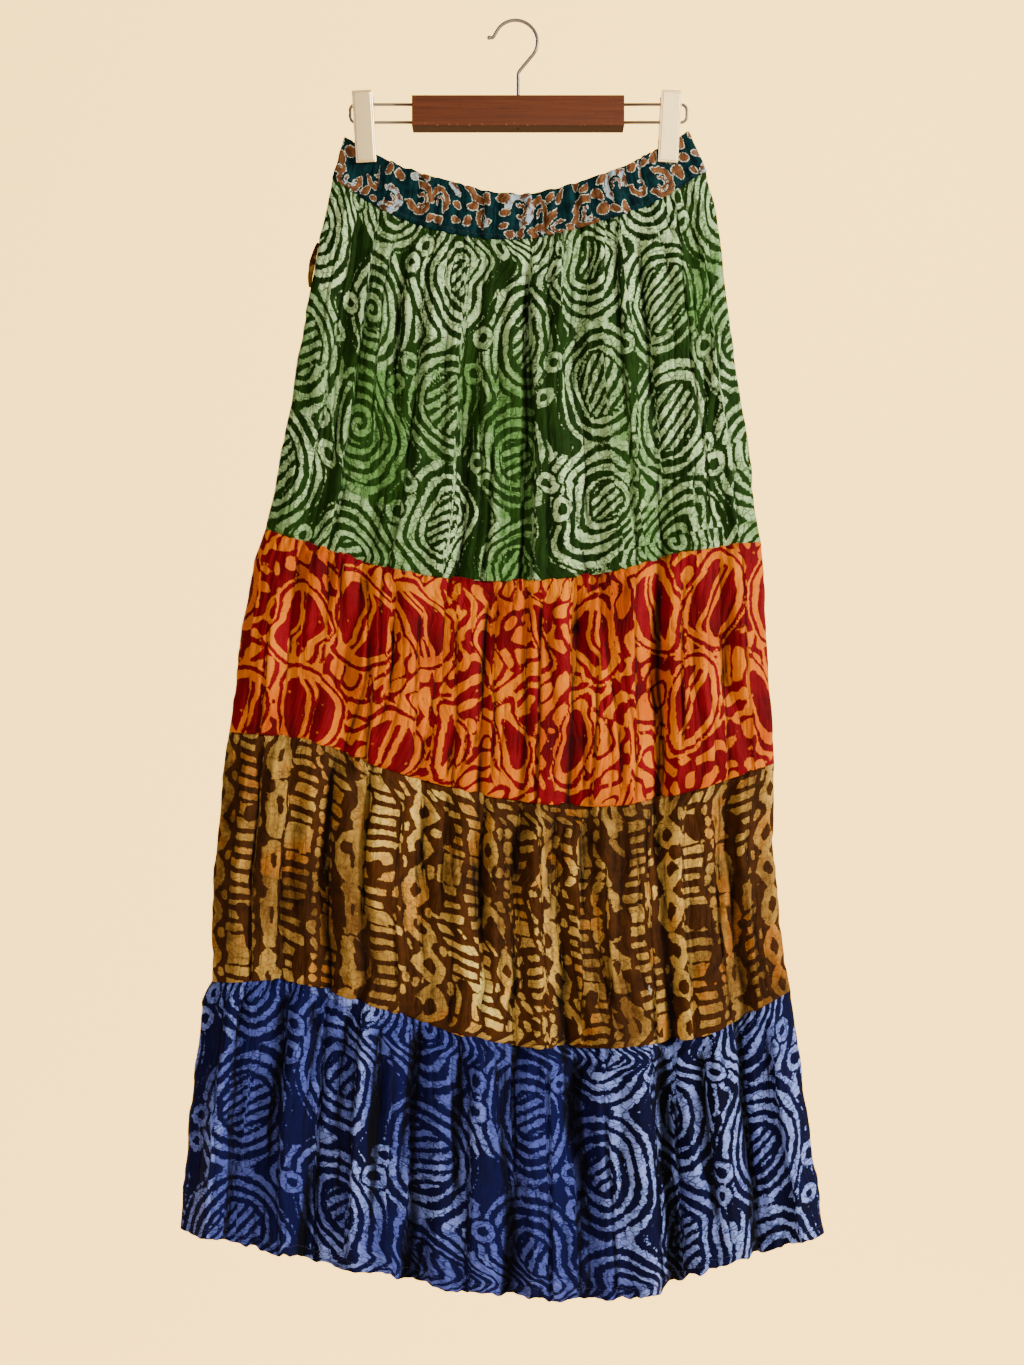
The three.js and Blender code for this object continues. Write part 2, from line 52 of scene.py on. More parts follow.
# %% [markdown]
# ## Camera, floor and light
#
# A hanging garment is looked at square on, from about half its height. The backdrop stands
# well behind it, so the skirt can also be seen from behind, and the floor lies far below.
# A lamp at the upper right rakes across the folds and shows every crease. A weaker one in
# front stands where the metal mirrors it, one behind lights the back, and one lights the
# backdrop. The pale sky around keeps the shaded sides readable.

# %% Camera, floor and lamps
CAMERA_PLACE = (-0.0043, -1.5, -0.568)
LENS_MM = 46.0
WALL_COLOUR = (1.0, 0.645, 0.175, 1)


def add_object(name, data):
    """Puts a mesh, lamp or camera into the scene."""
    thing = bpy.data.objects.new(name, data)
    bpy.context.collection.objects.link(thing)
    return thing


def lamp(name, place, target, size, power, colour):
    """A rectangular lamp at a place, turned towards a target."""
    data = bpy.data.lights.new(name, "AREA")
    data.shape = "RECTANGLE"
    data.size, data.size_y = size
    data.energy = power
    data.color = colour
    thing = add_object(name, data)
    thing.location = place
    thing.rotation_euler = (Vector(target) - Vector(place)).to_track_quat("-Z", "Y").to_euler()


def plain_sheet(name, corners, colour, glow):
    """A flat stage sheet: four corners and a plain colour."""
    mesh = bpy.data.meshes.new(name)
    mesh.from_pydata(corners, [], [(0, 1, 2, 3)])
    material = bpy.data.materials.new(name)
    material.use_nodes = True
    shader = material.node_tree.nodes["Principled BSDF"]
    shader.inputs["Base Color"].default_value = colour
    shader.inputs["Roughness"].default_value = 0.9
    shader.inputs["Emission Color"].default_value = colour
    shader.inputs["Emission Strength"].default_value = glow
    mesh.materials.append(material)
    add_object(name, mesh)


camera_data = bpy.data.cameras.new("camera")
camera_data.lens = LENS_MM
camera_data.sensor_width = 36
camera = add_object("camera", camera_data)
camera.location = CAMERA_PLACE
camera.rotation_euler = (math.radians(90), 0, 0)
bpy.context.scene.camera = camera

FLOOR_Z, TOP_Z, FRONT_Y, BACK_Y, HALF_WIDTH = -2.7, 4.0, -6.0, 3.6, 6.0
FLOOR_COLOUR = (0.80, 0.72, 0.60, 1)
FLOOR_GLOW, WALL_GLOW = 0.8, 3.3
plain_sheet("floor", [(-HALF_WIDTH, FRONT_Y, FLOOR_Z), (HALF_WIDTH, FRONT_Y, FLOOR_Z),
                      (HALF_WIDTH, BACK_Y, FLOOR_Z), (-HALF_WIDTH, BACK_Y, FLOOR_Z)],
            FLOOR_COLOUR, FLOOR_GLOW)
plain_sheet("backdrop", [(-HALF_WIDTH, BACK_Y, FLOOR_Z), (HALF_WIDTH, BACK_Y, FLOOR_Z),
                         (HALF_WIDTH, BACK_Y, TOP_Z), (-HALF_WIDTH, BACK_Y, TOP_Z)],
            WALL_COLOUR, WALL_GLOW)

SKIRT_MIDDLE = (0, 0, -0.6)
lamp("key", (2.3, -1.25, 0.45), SKIRT_MIDDLE, (0.4, 0.7), 104, (1.0, 0.94, 0.84))
lamp("fill", (0.5, -3.0, 0.32), SKIRT_MIDDLE, (1.5, 0.66), 23, (1.0, 0.95, 0.85))
lamp("behind", (-1.6, 1.7, 0.3), SKIRT_MIDDLE, (0.7, 1.0), 80, (1.0, 0.96, 0.9))
lamp("backdrop_light", (1.2, 1.2, 1.6), (0.2, BACK_Y, -0.4), (2.2, 2.2), 60, (1.0, 0.96, 0.9))

world = bpy.data.worlds.new("pale_room")
world.use_nodes = True
sky = world.node_tree.nodes["Background"]
sky.inputs["Color"].default_value = (0.93, 0.84, 0.72, 1)
sky.inputs["Strength"].default_value = 0.10
bpy.context.scene.world = world
print("stage ready")

# %% [markdown]
# ## Writing shaders as sums
#
# A pattern is easier to read as a formula than as a web of nodes. The class below wraps a
# node's output, so that `1 - mask * 0.5` adds the Math nodes by itself. Every other node
# comes from one method, which takes the node's type, its settings and its inputs.

# %% A small language for shaders


def linear(red, green, blue):
    """A colour given in ordinary 0-255 screen values, as the renderer wants it."""
    values = []
    for part in (red, green, blue):
        share = part / 255
        values.append(share / 12.92 if share <= 0.04045 else ((share + 0.055) / 1.055) ** 2.4)
    return (*values, 1.0)


def add_node(tree, kind, settings, inputs):
    """Adds one node: its settings, and its inputs by name or number."""
    made = tree.nodes.new(kind)
    for key, value in settings.items():
        setattr(made, key, value)
    pairs = inputs.items() if isinstance(inputs, dict) else enumerate(inputs)
    for key, value in pairs:
        if isinstance(value, Number):
            value = value.socket
        if isinstance(value, bpy.types.NodeSocket):
            tree.links.new(value, made.inputs[key])
        else:
            made.inputs[key].default_value = value
    return made


class Number:
    """A node's output that can be used in sums."""

    def __init__(self, finish, socket):
        self.finish, self.socket = finish, socket

    def maths(self, operation, first, second=None):
        inputs = [first] if second is None else [first, second]
        return self.finish.node("ShaderNodeMath", {"operation": operation}, inputs)

    def __add__(self, other): return self.maths("ADD", self, other)
    def __radd__(self, other): return self.maths("ADD", other, self)
    def __sub__(self, other): return self.maths("SUBTRACT", self, other)
    def __rsub__(self, other): return self.maths("SUBTRACT", other, self)
    def __mul__(self, other): return self.maths("MULTIPLY", self, other)
    def __rmul__(self, other): return self.maths("MULTIPLY", other, self)
    def __truediv__(self, other): return self.maths("DIVIDE", self, other)
    def __abs__(self): return self.maths("ABSOLUTE", self)
    def at_least(self, other): return self.maths("MAXIMUM", self, other)
    def at_most(self, other): return self.maths("MINIMUM", self, other)

    def clipped(self):
        """Kept from 0 to 1, as a share has to be."""
        return self.at_least(0.0).at_most(1.0)

    def between(self, low, high):
        """0 below low, 1 above high, and a smooth rise from one to the other."""
        settings = {"interpolation_type": "SMOOTHSTEP", "clamp": True}
        return self.finish.node("ShaderNodeMapRange", settings, [self, low, high, 0.0, 1.0])


class Finish:
    """A material, and the nodes that are added to it."""

    def __init__(self, name, roughness, metallic=0.0, fixed=None):
        self.material = bpy.data.materials.new(name)
        self.material.use_nodes = True
        self.tree = self.material.node_tree
        self.shader = self.tree.nodes["Principled BSDF"]
        self.shader.inputs["Roughness"].default_value = roughness
        self.shader.inputs["Metallic"].default_value = metallic
        for key, value in (fixed or {}).items():
            self.shader.inputs[key].default_value = value

    def node(self, kind, settings, inputs, output=0):
        return Number(self, add_node(self.tree, kind, settings, inputs).outputs[output])

    def mix(self, share, first, second):
        """A colour between two colours."""
        inputs = {0: share, 6: first, 7: second}
        return self.node("ShaderNodeMix", {"data_type": "RGBA"}, inputs, output=2)

    def field(self, name):
        """A number stored on the piece's points."""
        return self.node("ShaderNodeAttribute", {"attribute_name": name}, [], output=2)

    def cut_map(self):
        """The place on the flat cut cloth, in metres."""
        return self.node("ShaderNodeUVMap", {"uv_map": "cut"}, [])

    def object_place(self):
        return self.node("ShaderNodeTexCoord", {}, [], output=3)

    def part(self, place, axis):
        """One coordinate of a place: 0 for X, 1 for Y, 2 for Z."""
        return self.node("ShaderNodeSeparateXYZ", {}, [place], output=axis)

    def stretched(self, place, across, along, third=1.0):
        """A place scaled so that one step is `across` wide and `along` long, in metres."""
        inputs = {"Vector": place, "Scale": (1 / across, 1 / along, third)}
        return self.node("ShaderNodeMapping", {}, inputs)

    def noise(self, place, detail=2.0, roughness=0.5, distortion=0.0):
        inputs = {"Vector": place, "Scale": 1.0, "Detail": detail, "Roughness": roughness,
                  "Distortion": distortion}
        return self.node("ShaderNodeTexNoise", {}, inputs)

    def colour(self, value):
        self.tree.links.new(value.socket, self.shader.inputs["Base Color"])

    def roughness(self, value):
        self.tree.links.new(value.socket, self.shader.inputs["Roughness"])

    def bump(self, height, distance, strength=1.0):
        inputs = {"Strength": strength, "Distance": distance, "Height": height}
        made = self.node("ShaderNodeBump", {}, inputs)
        self.tree.links.new(made.socket, self.shader.inputs["Normal"])


print("shader language ready")

# %% [markdown]
# ## The shape of the hanging cloth
#
# Between the clips the waistband sags like a chain, and every seam below repeats a softer
# form of that sag. So the cloth is described by a few level lines, given at seven stations
# from left to right, and by the outline of the flattened tube. A point of the cloth is found
# from s, 0 at the left side and 1 at the right, and v, 0 at a piece's upper seam and 1 at the
# lower one. A simulation could drape it too, but it wouldn't put the folds in chosen places,
# and a hanging skirt is known by where its folds are.

# %% Level lines and outline, in millimetres
STATIONS = [0, 0.15, 0.3, 0.5, 0.7, 0.85, 1]
LEVELS = [
    {"name": "waist top", "depth": 6.5, "heights": [-99, -122, -138, -150, -135, -116, -94]},
    {"name": "waist seam", "depth": 9, "heights": [-135, -164, -182, -189, -174, -156, -129]},
    {"name": "tier 1 to 2", "depth": 16, "heights": [-436, -456, -474, -482, -474, -457, -447]},
    {"name": "tier 2 to 3", "depth": 21, "heights": [-610, -618, -642, -666, -673, -660, -637]},
    {"name": "tier 3 to 4", "depth": 25, "heights": [-824, -823, -844, -874, -877, -866, -831]},
    {"name": "hem", "depth": 29, "heights": [-1035, -1050, -1066, -1085, -1087, -1058, -1039]},
]
LEFT_SIDE = [(-98, -147), (-133, -157), (-188, -169), (-343, -198), (-436, -215), (-463, -225),
             (-532, -238), (-608, -246), (-670, -255), (-738, -260), (-824, -262), (-842, -270),
             (-945, -281), (-1035, -288), (-1090, -291)]
RIGHT_SIDE = [(-94, 147), (-129, 163), (-188, 174), (-343, 195), (-447, 209), (-498, 213),
              (-637, 221), (-704, 220), (-773, 225), (-842, 236), (-945, 251), (-1039, 263),
              (-1090, 267)]
CORNER_POWER = 3     # how square the flattened tube's sides are: 2 would be an ellipse
WAIST_DROOP = 1.04   # sag of the back's upper edge, as a share of the front's
BACK_DROOP = 0.95    # sag of the back's seams, as a share of the front's
PUFF = 2.5           # how far tiers 2 to 4 swell out below their seams
GATHER_RUN = 0.12    # share of a piece over which its own gathers take over from those above
SEAM_GAP = 0.3       # gap between the front and back halves of the solids
WALL = 1.2           # wall of the solids


def smooth(x, low, high):
    """0 below low, 1 above high, smooth between."""
    t = np.clip((x - low) / (high - low), 0, 1)
    return t * t * (3 - 2 * t)


def bell(x, middle, width):
    return np.exp(-0.5 * ((x - middle) / width) ** 2)


def smooth_through(xs, ys, x):
    """A smooth curve through a short table."""
    xs, ys = np.asarray(xs, float), np.asarray(ys, float)
    last = len(xs) - 1
    slopes = np.array([(ys[min(k + 1, last)] - ys[max(k - 1, 0)])
                       / (xs[min(k + 1, last)] - xs[max(k - 1, 0)]) for k in range(last + 1)])
    i = np.clip(np.searchsorted(xs, x, side="right") - 1, 0, last - 1)
    span = xs[i + 1] - xs[i]
    t = np.clip((x - xs[i]) / span, 0, 1)
    return ((2 * t**3 - 3 * t**2 + 1) * ys[i] + (t**3 - 2 * t**2 + t) * span * slopes[i]
            + (3 * t**2 - 2 * t**3) * ys[i + 1] + (t**3 - t**2) * span * slopes[i + 1])


def outline(side, z):
    """Where a side of the flattened tube lies at a height."""
    rows = np.asarray(side, float)[::-1]
    return np.interp(z, rows[:, 0], rows[:, 1])


def seam_height(level, s, back):
    """Height of a seam or free edge. The back's sags differently from the front's."""
    heights = LEVELS[level]["heights"]
    front = smooth_through(STATIONS, heights, s)
    if not back:
        return front
    chord = heights[0] + (heights[6] - heights[0]) * s
    return chord + (front - chord) * (BACK_DROOP if level else WAIST_DROOP)


PIECES = [  # slot, thickness, flat width of each half and flat length, in millimetres
    {"node": "waistband", "slot": "band", "thick": 1.7, "width": 430, "length": 39},
    {"node": "tier_1", "slot": "green_batik", "thick": 0.8, "width": 600, "length": 292},
    {"node": "tier_2", "slot": "orange_batik", "thick": 0.8, "width": 650, "length": 184},
    {"node": "tier_3", "slot": "brown_batik", "thick": 0.8, "width": 680, "length": 205},
    {"node": "tier_4", "slot": "blue_batik", "thick": 0.8, "width": 770, "length": 212},
]
print("levels:", ", ".join(level["name"] for level in LEVELS))

# %% [markdown]
# ## Large folds, gathers and sharp pleats
#
# Four kinds of fold make hanging cotton look right. Large folds run the whole length of the
# skirt and grow towards the hem. Gathers start at each seam, where a longer edge has been
# drawn up on a thread. Sharp pleats are lines where the crinkled cloth has been pressed over
# itself: one side stands a step higher, and a strip of cloth, with its print, is hidden.
# Valleys are the few narrow folds that reach deepest. Each kind is a short table.

# %% Fold tables
FRONT_FOLDS = [  # place at the waist, place at the hem, depth at waist, depth at hem, width
    (0.045, 0.055, 0.6, 3, 0.020), (0.105, 0.125, -1.0, -4, 0.022),
    (0.155, 0.160, 0.8, 4, 0.022), (0.205, 0.215, -1.0, -5, 0.024),
    (0.300, 0.275, 0.8, 4, 0.030), (0.400, 0.350, -1.2, -6, 0.028),
    (0.460, 0.450, 0.8, 3, 0.030), (0.525, 0.520, -1.0, -4, 0.020),
    (0.570, 0.570, 0.8, 4, 0.022), (0.650, 0.615, -1.4, -7, 0.022),
    (0.725, 0.705, 1.2, 6, 0.026), (0.800, 0.768, -1.6, -9, 0.020),
    (0.870, 0.840, 1.0, 5, 0.022), (0.925, 0.897, -0.8, -5, 0.018),
    (0.960, 0.955, 0.4, 4, 0.018),
]
BACK_FOLDS = [
    (0.060, 0.050, 0.6, 4, 0.022), (0.130, 0.110, -1.0, -5, 0.024),
    (0.200, 0.180, 0.8, 4, 0.026), (0.280, 0.265, -1.2, -7, 0.024),
    (0.350, 0.345, 1.0, 5, 0.028), (0.440, 0.430, -1.0, -4, 0.022),
    (0.510, 0.525, 0.8, 4, 0.030), (0.590, 0.610, -1.4, -8, 0.022),
    (0.670, 0.690, 1.0, 5, 0.026), (0.750, 0.770, -1.0, -5, 0.024),
    (0.830, 0.850, 0.8, 5, 0.022), (0.900, 0.915, -0.8, -4, 0.018),
]
GATHERS = [  # waves across, height below the seam, height at the next seam, first phase
    (20, 1.0, 0.7, 0.2), (17, 1.8, 0.7, 0.7), (16, 2.3, 0.8, 1.9), (17, 2.5, 0.9, 3.1),
    (16, 3.0, 2.6, 4.4),
]
PLEATS = [  # per piece: place, lean to the hem, start, end, step in mm, hidden cloth in mm
    [(0.12, 0.01, 0.0, 1.0, 0.8, 6), (0.27, -0.01, 0.0, 0.9, -0.8, 4),
     (0.41, 0.00, 0.1, 1.0, 0.8, 6), (0.55, 0.01, 0.0, 1.0, -0.9, 6),
     (0.68, 0.00, 0.0, 0.8, 0.6, 4), (0.83, -0.01, 0.0, 1.0, 0.8, 6)],
    [(0.085, -0.01, 0.05, 0.75, 1.4, 10), (0.138, 0.00, 0.05, 0.95, -1.8, 26),
     (0.182, 0.01, 0.10, 0.60, 1.5, 11), (0.290, -0.02, 0.35, 1.00, 1.2, 8),
     (0.372, 0.00, 0.10, 1.00, -1.7, 25), (0.455, 0.00, 0.55, 1.00, 1.2, 8),
     (0.530, 0.02, 0.02, 1.00, 2.1, 30), (0.605, 0.00, 0.00, 0.45, -1.2, 10),
     (0.742, 0.01, 0.05, 1.00, 1.7, 27), (0.815, -0.01, 0.30, 0.85, -1.2, 8),
     (0.898, 0.01, 0.05, 0.90, 1.7, 20), (0.955, 0.00, 0.20, 1.00, -1.2, 10)],
    [(0.060, 0.00, 0.45, 1.00, 1.8, 11), (0.115, 0.01, 0.00, 0.70, -1.2, 8),
     (0.180, 0.02, 0.05, 0.45, 1.2, 8), (0.255, 0.01, 0.55, 1.00, 1.8, 13),
     (0.282, 0.00, 0.05, 0.65, -1.5, 11), (0.345, 0.00, 0.20, 0.80, 1.2, 8),
     (0.412, 0.01, 0.15, 1.00, 1.8, 21), (0.475, 0.01, 0.05, 0.90, -2.1, 17),
     (0.572, 0.00, 0.10, 1.00, 2.1, 25), (0.630, -0.01, 0.00, 0.60, -1.2, 10),
     (0.690, -0.02, 0.30, 1.00, 1.8, 11), (0.745, 0.00, 0.05, 1.00, -1.8, 22),
     (0.842, -0.01, 0.15, 0.80, 1.5, 11), (0.902, 0.01, 0.35, 1.00, -1.7, 13),
     (0.960, 0.00, 0.05, 1.00, 1.4, 10)],
    [(0.075, 0.00, 0.05, 1.00, 2.2, 15), (0.125, -0.01, 0.20, 0.80, -1.4, 8),
     (0.205, 0.01, 0.30, 1.00, 1.4, 10), (0.265, 0.00, 0.00, 0.60, -2.1, 13),
     (0.335, -0.01, 0.10, 0.90, 1.2, 8), (0.415, -0.01, 0.05, 0.45, 1.7, 10),
     (0.475, -0.01, 0.00, 0.85, -2.1, 15), (0.532, 0.00, 0.30, 1.00, 1.5, 10),
     (0.582, 0.00, 0.10, 1.00, 2.1, 15), (0.650, -0.01, 0.05, 1.00, -2.1, 22),
     (0.700, -0.01, 0.25, 0.90, 1.2, 10), (0.775, -0.01, 0.05, 1.00, 2.7, 26),
     (0.832, -0.01, 0.05, 1.00, -2.0, 13), (0.892, 0.00, 0.10, 0.95, 1.5, 11),
     (0.945, 0.00, 0.20, 1.00, -1.4, 10)],
    [(0.045, 0.00, 0.05, 0.80, 1.5, 10), (0.100, -0.01, 0.10, 0.70, -1.4, 10),
     (0.150, 0.01, 0.05, 0.90, 2.1, 15), (0.210, 0.00, 0.05, 1.00, -2.0, 13),
     (0.275, -0.01, 0.05, 0.95, 2.7, 27), (0.330, -0.01, 0.20, 0.80, -1.4, 10),
     (0.362, -0.01, 0.10, 0.90, -2.4, 17), (0.460, -0.01, 0.15, 1.00, 1.8, 13),
     (0.520, 0.00, 0.05, 0.60, -1.5, 10), (0.585, -0.01, 0.10, 1.00, 2.6, 20),
     (0.622, -0.01, 0.05, 1.00, -2.7, 30), (0.675, 0.00, 0.20, 1.00, 1.5, 10),
     (0.755, -0.01, 0.02, 1.00, 3.6, 34), (0.785, -0.01, 0.02, 1.00, -3.0, 30),
     (0.838, 0.00, 0.10, 0.80, 1.8, 11), (0.892, 0.00, 0.05, 1.00, -2.4, 17),
     (0.948, 0.01, 0.15, 1.00, 2.0, 13)],
]
VALLEYS = [  # per piece: place, lean, half width, depth in mm of the deepest folds
    [],
    [(0.105, 0.03, 0.010, 1.8), (0.205, 0.06, 0.009, 2.2), (0.410, -0.01, 0.010, 2.6),
     (0.522, 0.00, 0.008, 3.0), (0.650, 0.00, 0.008, 3.0), (0.802, 0.00, 0.009, 3.4)],
    [(0.182, 0.01, 0.009, 2.6), (0.255, 0.00, 0.008, 2.4), (0.455, 0.01, 0.009, 3.6),
     (0.541, 0.00, 0.008, 3.2), (0.635, -0.01, 0.009, 3.6), (0.797, -0.01, 0.010, 4.6)],
    [(0.196, 0.01, 0.009, 3.2), (0.268, 0.00, 0.008, 3.0), (0.342, 0.00, 0.008, 2.6),
     (0.472, -0.01, 0.010, 4.2), (0.600, 0.01, 0.013, 4.4), (0.800, -0.01, 0.010, 5.4),
     (0.918, 0.00, 0.008, 3.0)],
    [(0.112, 0.00, 0.008, 2.6), (0.214, 0.00, 0.009, 3.2), (0.356, -0.01, 0.010, 4.4),
     (0.531, 0.00, 0.009, 3.4), (0.608, -0.01, 0.014, 8.0), (0.770, -0.01, 0.014, 9.6),
     (0.896, 0.00, 0.009, 5.2)],
]


def mirrored(at):
    """Where a fold of the front has its like on the back."""
    return 1.015 - 0.985 * at - 0.02 * math.sin(40 * at)


def pleat_table(piece, back):
    """The back has pleats of the same kind in other places."""
    if not back:
        return PLEATS[piece]
    return [(mirrored(at), -lean, start, end, -step, hidden)
            for at, lean, start, end, step, hidden in PLEATS[piece]]


def valley_depth(piece, back, s, v):
    """How far the deepest folds sink, in millimetres."""
    depth = 0
    for at, lean, width, deep in VALLEYS[piece]:
        place = (mirrored(at) if back else at) + lean * v
        depth = depth + deep * bell(s, place, width) * smooth(v, -0.1, 0.25)
    return depth


print("pleats:", sum(len(rows) for rows in PLEATS), "on the front")

# %% [markdown]
# ## Uneven cloth
#
# Crinkled cotton is covered with fine creases that run down the cloth. They are too many to
# place one by one, so they come from a smooth random surface that is stretched lengthways:
# narrow across, long down. A sum of waves that run in every direction gives a print its
# hand-drawn wobble. Where a clip pinches the cloth, it presses the folds flat.

# %% Smooth random surfaces
TABLE_SIZE = 128
PRESS = {"at": 0.06, "width": 0.06, "fades_from": 0.4, "gone_at": 1.4, "least": 0.12}


def uneven(x, y, seed):
    """A smooth random surface between -1 and 1, one hill or hollow for each unit."""
    table = np.random.default_rng(seed).uniform(-1, 1, (TABLE_SIZE, TABLE_SIZE))
    x0, y0 = np.floor(x).astype(int), np.floor(y).astype(int)
    fx, fy = x - x0, y - y0
    fx, fy = fx * fx * (3 - 2 * fx), fy * fy * (3 - 2 * fy)
    x0, y0 = x0 % TABLE_SIZE, y0 % TABLE_SIZE
    x1, y1 = (x0 + 1) % TABLE_SIZE, (y0 + 1) % TABLE_SIZE
    upper = table[y0, x0] * (1 - fx) + table[y0, x1] * fx
    lower = table[y1, x0] * (1 - fx) + table[y1, x1] * fx
    return upper * (1 - fy) + lower * fy


def drift(x, y, wave, seed, count=12):
    """A smooth wandering between about -1 and 1, alike in every direction."""
    random = np.random.default_rng(seed)
    total = np.zeros_like(x, dtype=float)
    for _ in range(count):
        angle = random.uniform(0, 2 * np.pi)
        k = 2 * np.pi / (wave * random.uniform(0.8, 1.7))
        total += np.cos(k * (x * math.cos(angle) + y * math.sin(angle)) + random.uniform(0, 6.28))
    return total / math.sqrt(count)


def side_fade(s):
    """0 on the side edges, 1 a little way in."""
    return smooth(np.minimum(s, 1 - s), 0, 0.05)


def clip_press(s, down):
    """0 where a clip pinches the cloth, 1 where the cloth is free."""
    near = np.maximum(bell(s, PRESS["at"], PRESS["width"]),
                      bell(s, 1 - PRESS["at"], PRESS["width"]))
    return 1 - near * (1 - smooth(down, PRESS["fades_from"], PRESS["gone_at"]))


def fold_depth(rows, s, down):
    """The large folds, where `down` counts the pieces from the upper edge of the waistband."""
    along = np.clip((down - 1) / 4, 0, 1)
    depth = 0
    for top, bottom, top_depth, hem_depth, width in rows:
        size = top_depth + (hem_depth - top_depth) * along
        depth = depth + size * bell(s, top + (bottom - top) * along, width)
    return depth


def gather_wave(piece, s):
    waves, _, _, start = GATHERS[piece]
    shift = 0.84 * np.sin(9.1 * s + start) + 0.6 * np.sin(17.3 * s + 2 * start)
    return np.sin(2 * np.pi * waves * s + start + shift)


def gather_depth(piece, s, v):
    """The gathers of a piece, which carry on from those of the piece above."""
    _, below, at_bottom, _ = GATHERS[piece]
    own = (below + (at_bottom - below) * smooth(v, GATHER_RUN, 1)) * gather_wave(piece, s)
    if piece == 0:
        return own
    above = GATHERS[piece - 1][2] * gather_wave(piece - 1, s)
    return above + (own - above) * smooth(v, 0, GATHER_RUN)


def puff_depth(piece, v):
    if piece < 2:
        return 0
    return PUFF * smooth(v, 0, GATHER_RUN) * (1 - smooth(v, GATHER_RUN, 1))


print("random surfaces ready")

# %% [markdown]
# ## One panel, point by point
#
# The middle of the cloth is worked out for a whole grid at once. To the large form the fine
# creases are added. The print must lie in the cloth, not in space, so each point also gets
# its place on the flat cut: how far it is along its row, counting every fold and the strips
# that the pleats hide. Gathering packs the same width of cloth into a shorter seam, so each
# row is scaled to the full width of the cut.

# %% The grid of a panel
SEAM_GROOVE = 1.3
TIER_SPAN, BAND_SPAN = 520, 340     # widths on which the small creases are laid out
# Heights of the small creases, then the form of a sharp pleat: its fade is a share of the
# piece's length, its groove_share of the step, and the others are shares of the width.
CREASES = {"facets": 5.2, "pressed": 3.4, "sharp": 1.5, "soft": 0.6, "puckers": 1.3}
PLEAT = {"fade": 0.06, "rise_from": -0.0035, "rise_to": 0.0015, "run_out": 0.016,
         "groove": 0.004, "groove_share": 0.55, "slip": 0.0012}


def pleats_at(rows, s, v):
    """The step in the surface and the hidden cloth of the sharp pleats."""
    step, hidden = 0, 0
    fade, slip = PLEAT["fade"], PLEAT["slip"]
    for at, lean, start, end, height, tuck in rows:
        place = at + lean * v
        live = smooth(v, start - fade, start + fade) * (1 - smooth(v, end - fade, end + fade))
        away = (s - place) * np.sign(height)
        edge = smooth(away, PLEAT["rise_from"], PLEAT["rise_to"])
        edge = edge * np.exp(-np.maximum(away, 0) / PLEAT["run_out"])
        groove = bell(away, -PLEAT["groove"], PLEAT["groove"])
        step = step + live * abs(height) * (edge - PLEAT["groove_share"] * groove)
        hidden = hidden + live * tuck * smooth(s, place - slip, place + slip)
    return step, hidden


def crisp_facets(x, y, seed):
    """Flat strips between straight creases, and the cloth that the creases have tucked away."""
    random = np.random.default_rng(seed)
    edges = np.cumsum(random.uniform(9, 26, 60)) - 60
    tucked = np.cumsum(random.uniform(0, 1, 60) ** 2 * 5)
    k = np.clip(np.searchsorted(edges, x) - 1, 0, len(edges) - 2)
    share = (x - edges[k]) / (edges[k + 1] - edges[k])
    here, following = uneven(3.7 * k, y / 95, seed + 1), uneven(3.7 * (k + 1), y / 95, seed + 1)
    return here * (1 - share) + following * share, tucked[k]


def fine_creases(x, y, lean, seed):
    """Pressed creases with sharp valleys, finer ones between, and puckers below the seam."""
    pressed = 0.4 - np.abs(uneven((x + lean) / 12.5, y / 120, seed + 2))
    sharp = 0.4 - np.abs(uneven((x + 0.6 * lean) / 6.5, y / 62, seed + 3))
    soft = uneven((x + lean) / 5.2, y / 48, seed + 4)
    puckers = uneven(x / 4.2, y / 30, seed + 6) * np.exp(-y / 30)
    strength = 0.8 + 0.45 * uneven(x / 70, y / 80, seed + 7)
    height = -strength * (CREASES["pressed"] * pressed + CREASES["sharp"] * sharp)
    return height + CREASES["soft"] * soft, CREASES["puckers"] * puckers


def crease_height(piece, back, s, v):
    """All small folds of a tier in millimetres, and the cloth they tuck away."""
    length = PIECES[piece]["length"]
    x, y = s * TIER_SPAN, v * length
    seed = 10 * piece + (5 if back else 0)
    lean = 9 * drift(x, y, 190, seed + 1)
    facets, tucked = crisp_facets(x + lean, y, seed + 400)
    creases, puckers = fine_creases(x, y, lean, seed)
    to_seam = y if piece == 4 else np.minimum(y, length - y)
    held = 0.3 + 0.7 * smooth(to_seam, 0, 24)
    return held * (CREASES["facets"] * facets + creases) + puckers, tucked


def band_gathers(back, s, v):
    """Upright wrinkles of a strip that is drawn up on elastic."""
    seed = 15 if back else 7
    x = s * BAND_SPAN
    wide = uneven(x / 5.2, v * 0.8, seed)
    narrow = uneven(x / 2.7, v * 1.6, seed + 1)
    roll = np.sin(np.pi * np.clip(v, 0, 1))
    return (0.35 + 0.65 * roll) * (1.5 * wide + 0.6 * narrow)


def edge_waves(piece, s, v, waves):
    """How far the free edges rise and fall: the frill of the waist and the hem."""
    if piece == 0:
        frill = 1.5 * np.abs(uneven(s * BAND_SPAN / 6.5, 0 * v, 31)) - 0.3
        return frill * (1 - smooth(v, 0, 0.35))
    if piece == 4:
        x = s * TIER_SPAN
        ripple = 2.6 * uneven(x / 8, 0 * v, 32) + 1.6 * uneven(x / 4, 0 * v, 33)
        notch = 3.4 * bell(s, 0.762, 0.008) - 2.0 * bell(s, 0.742, 0.012)
        return (ripple + 0.22 * waves + notch) * smooth(v, 0.86, 1)
    return 0


def side_edge(side, z, seed):
    """A side of the flattened tube, a little wavy."""
    return (outline(side, z) + 1.2 * uneven(0 * z, z / 27, seed)
            + 0.5 * uneven(0 * z, z / 8, seed + 2))


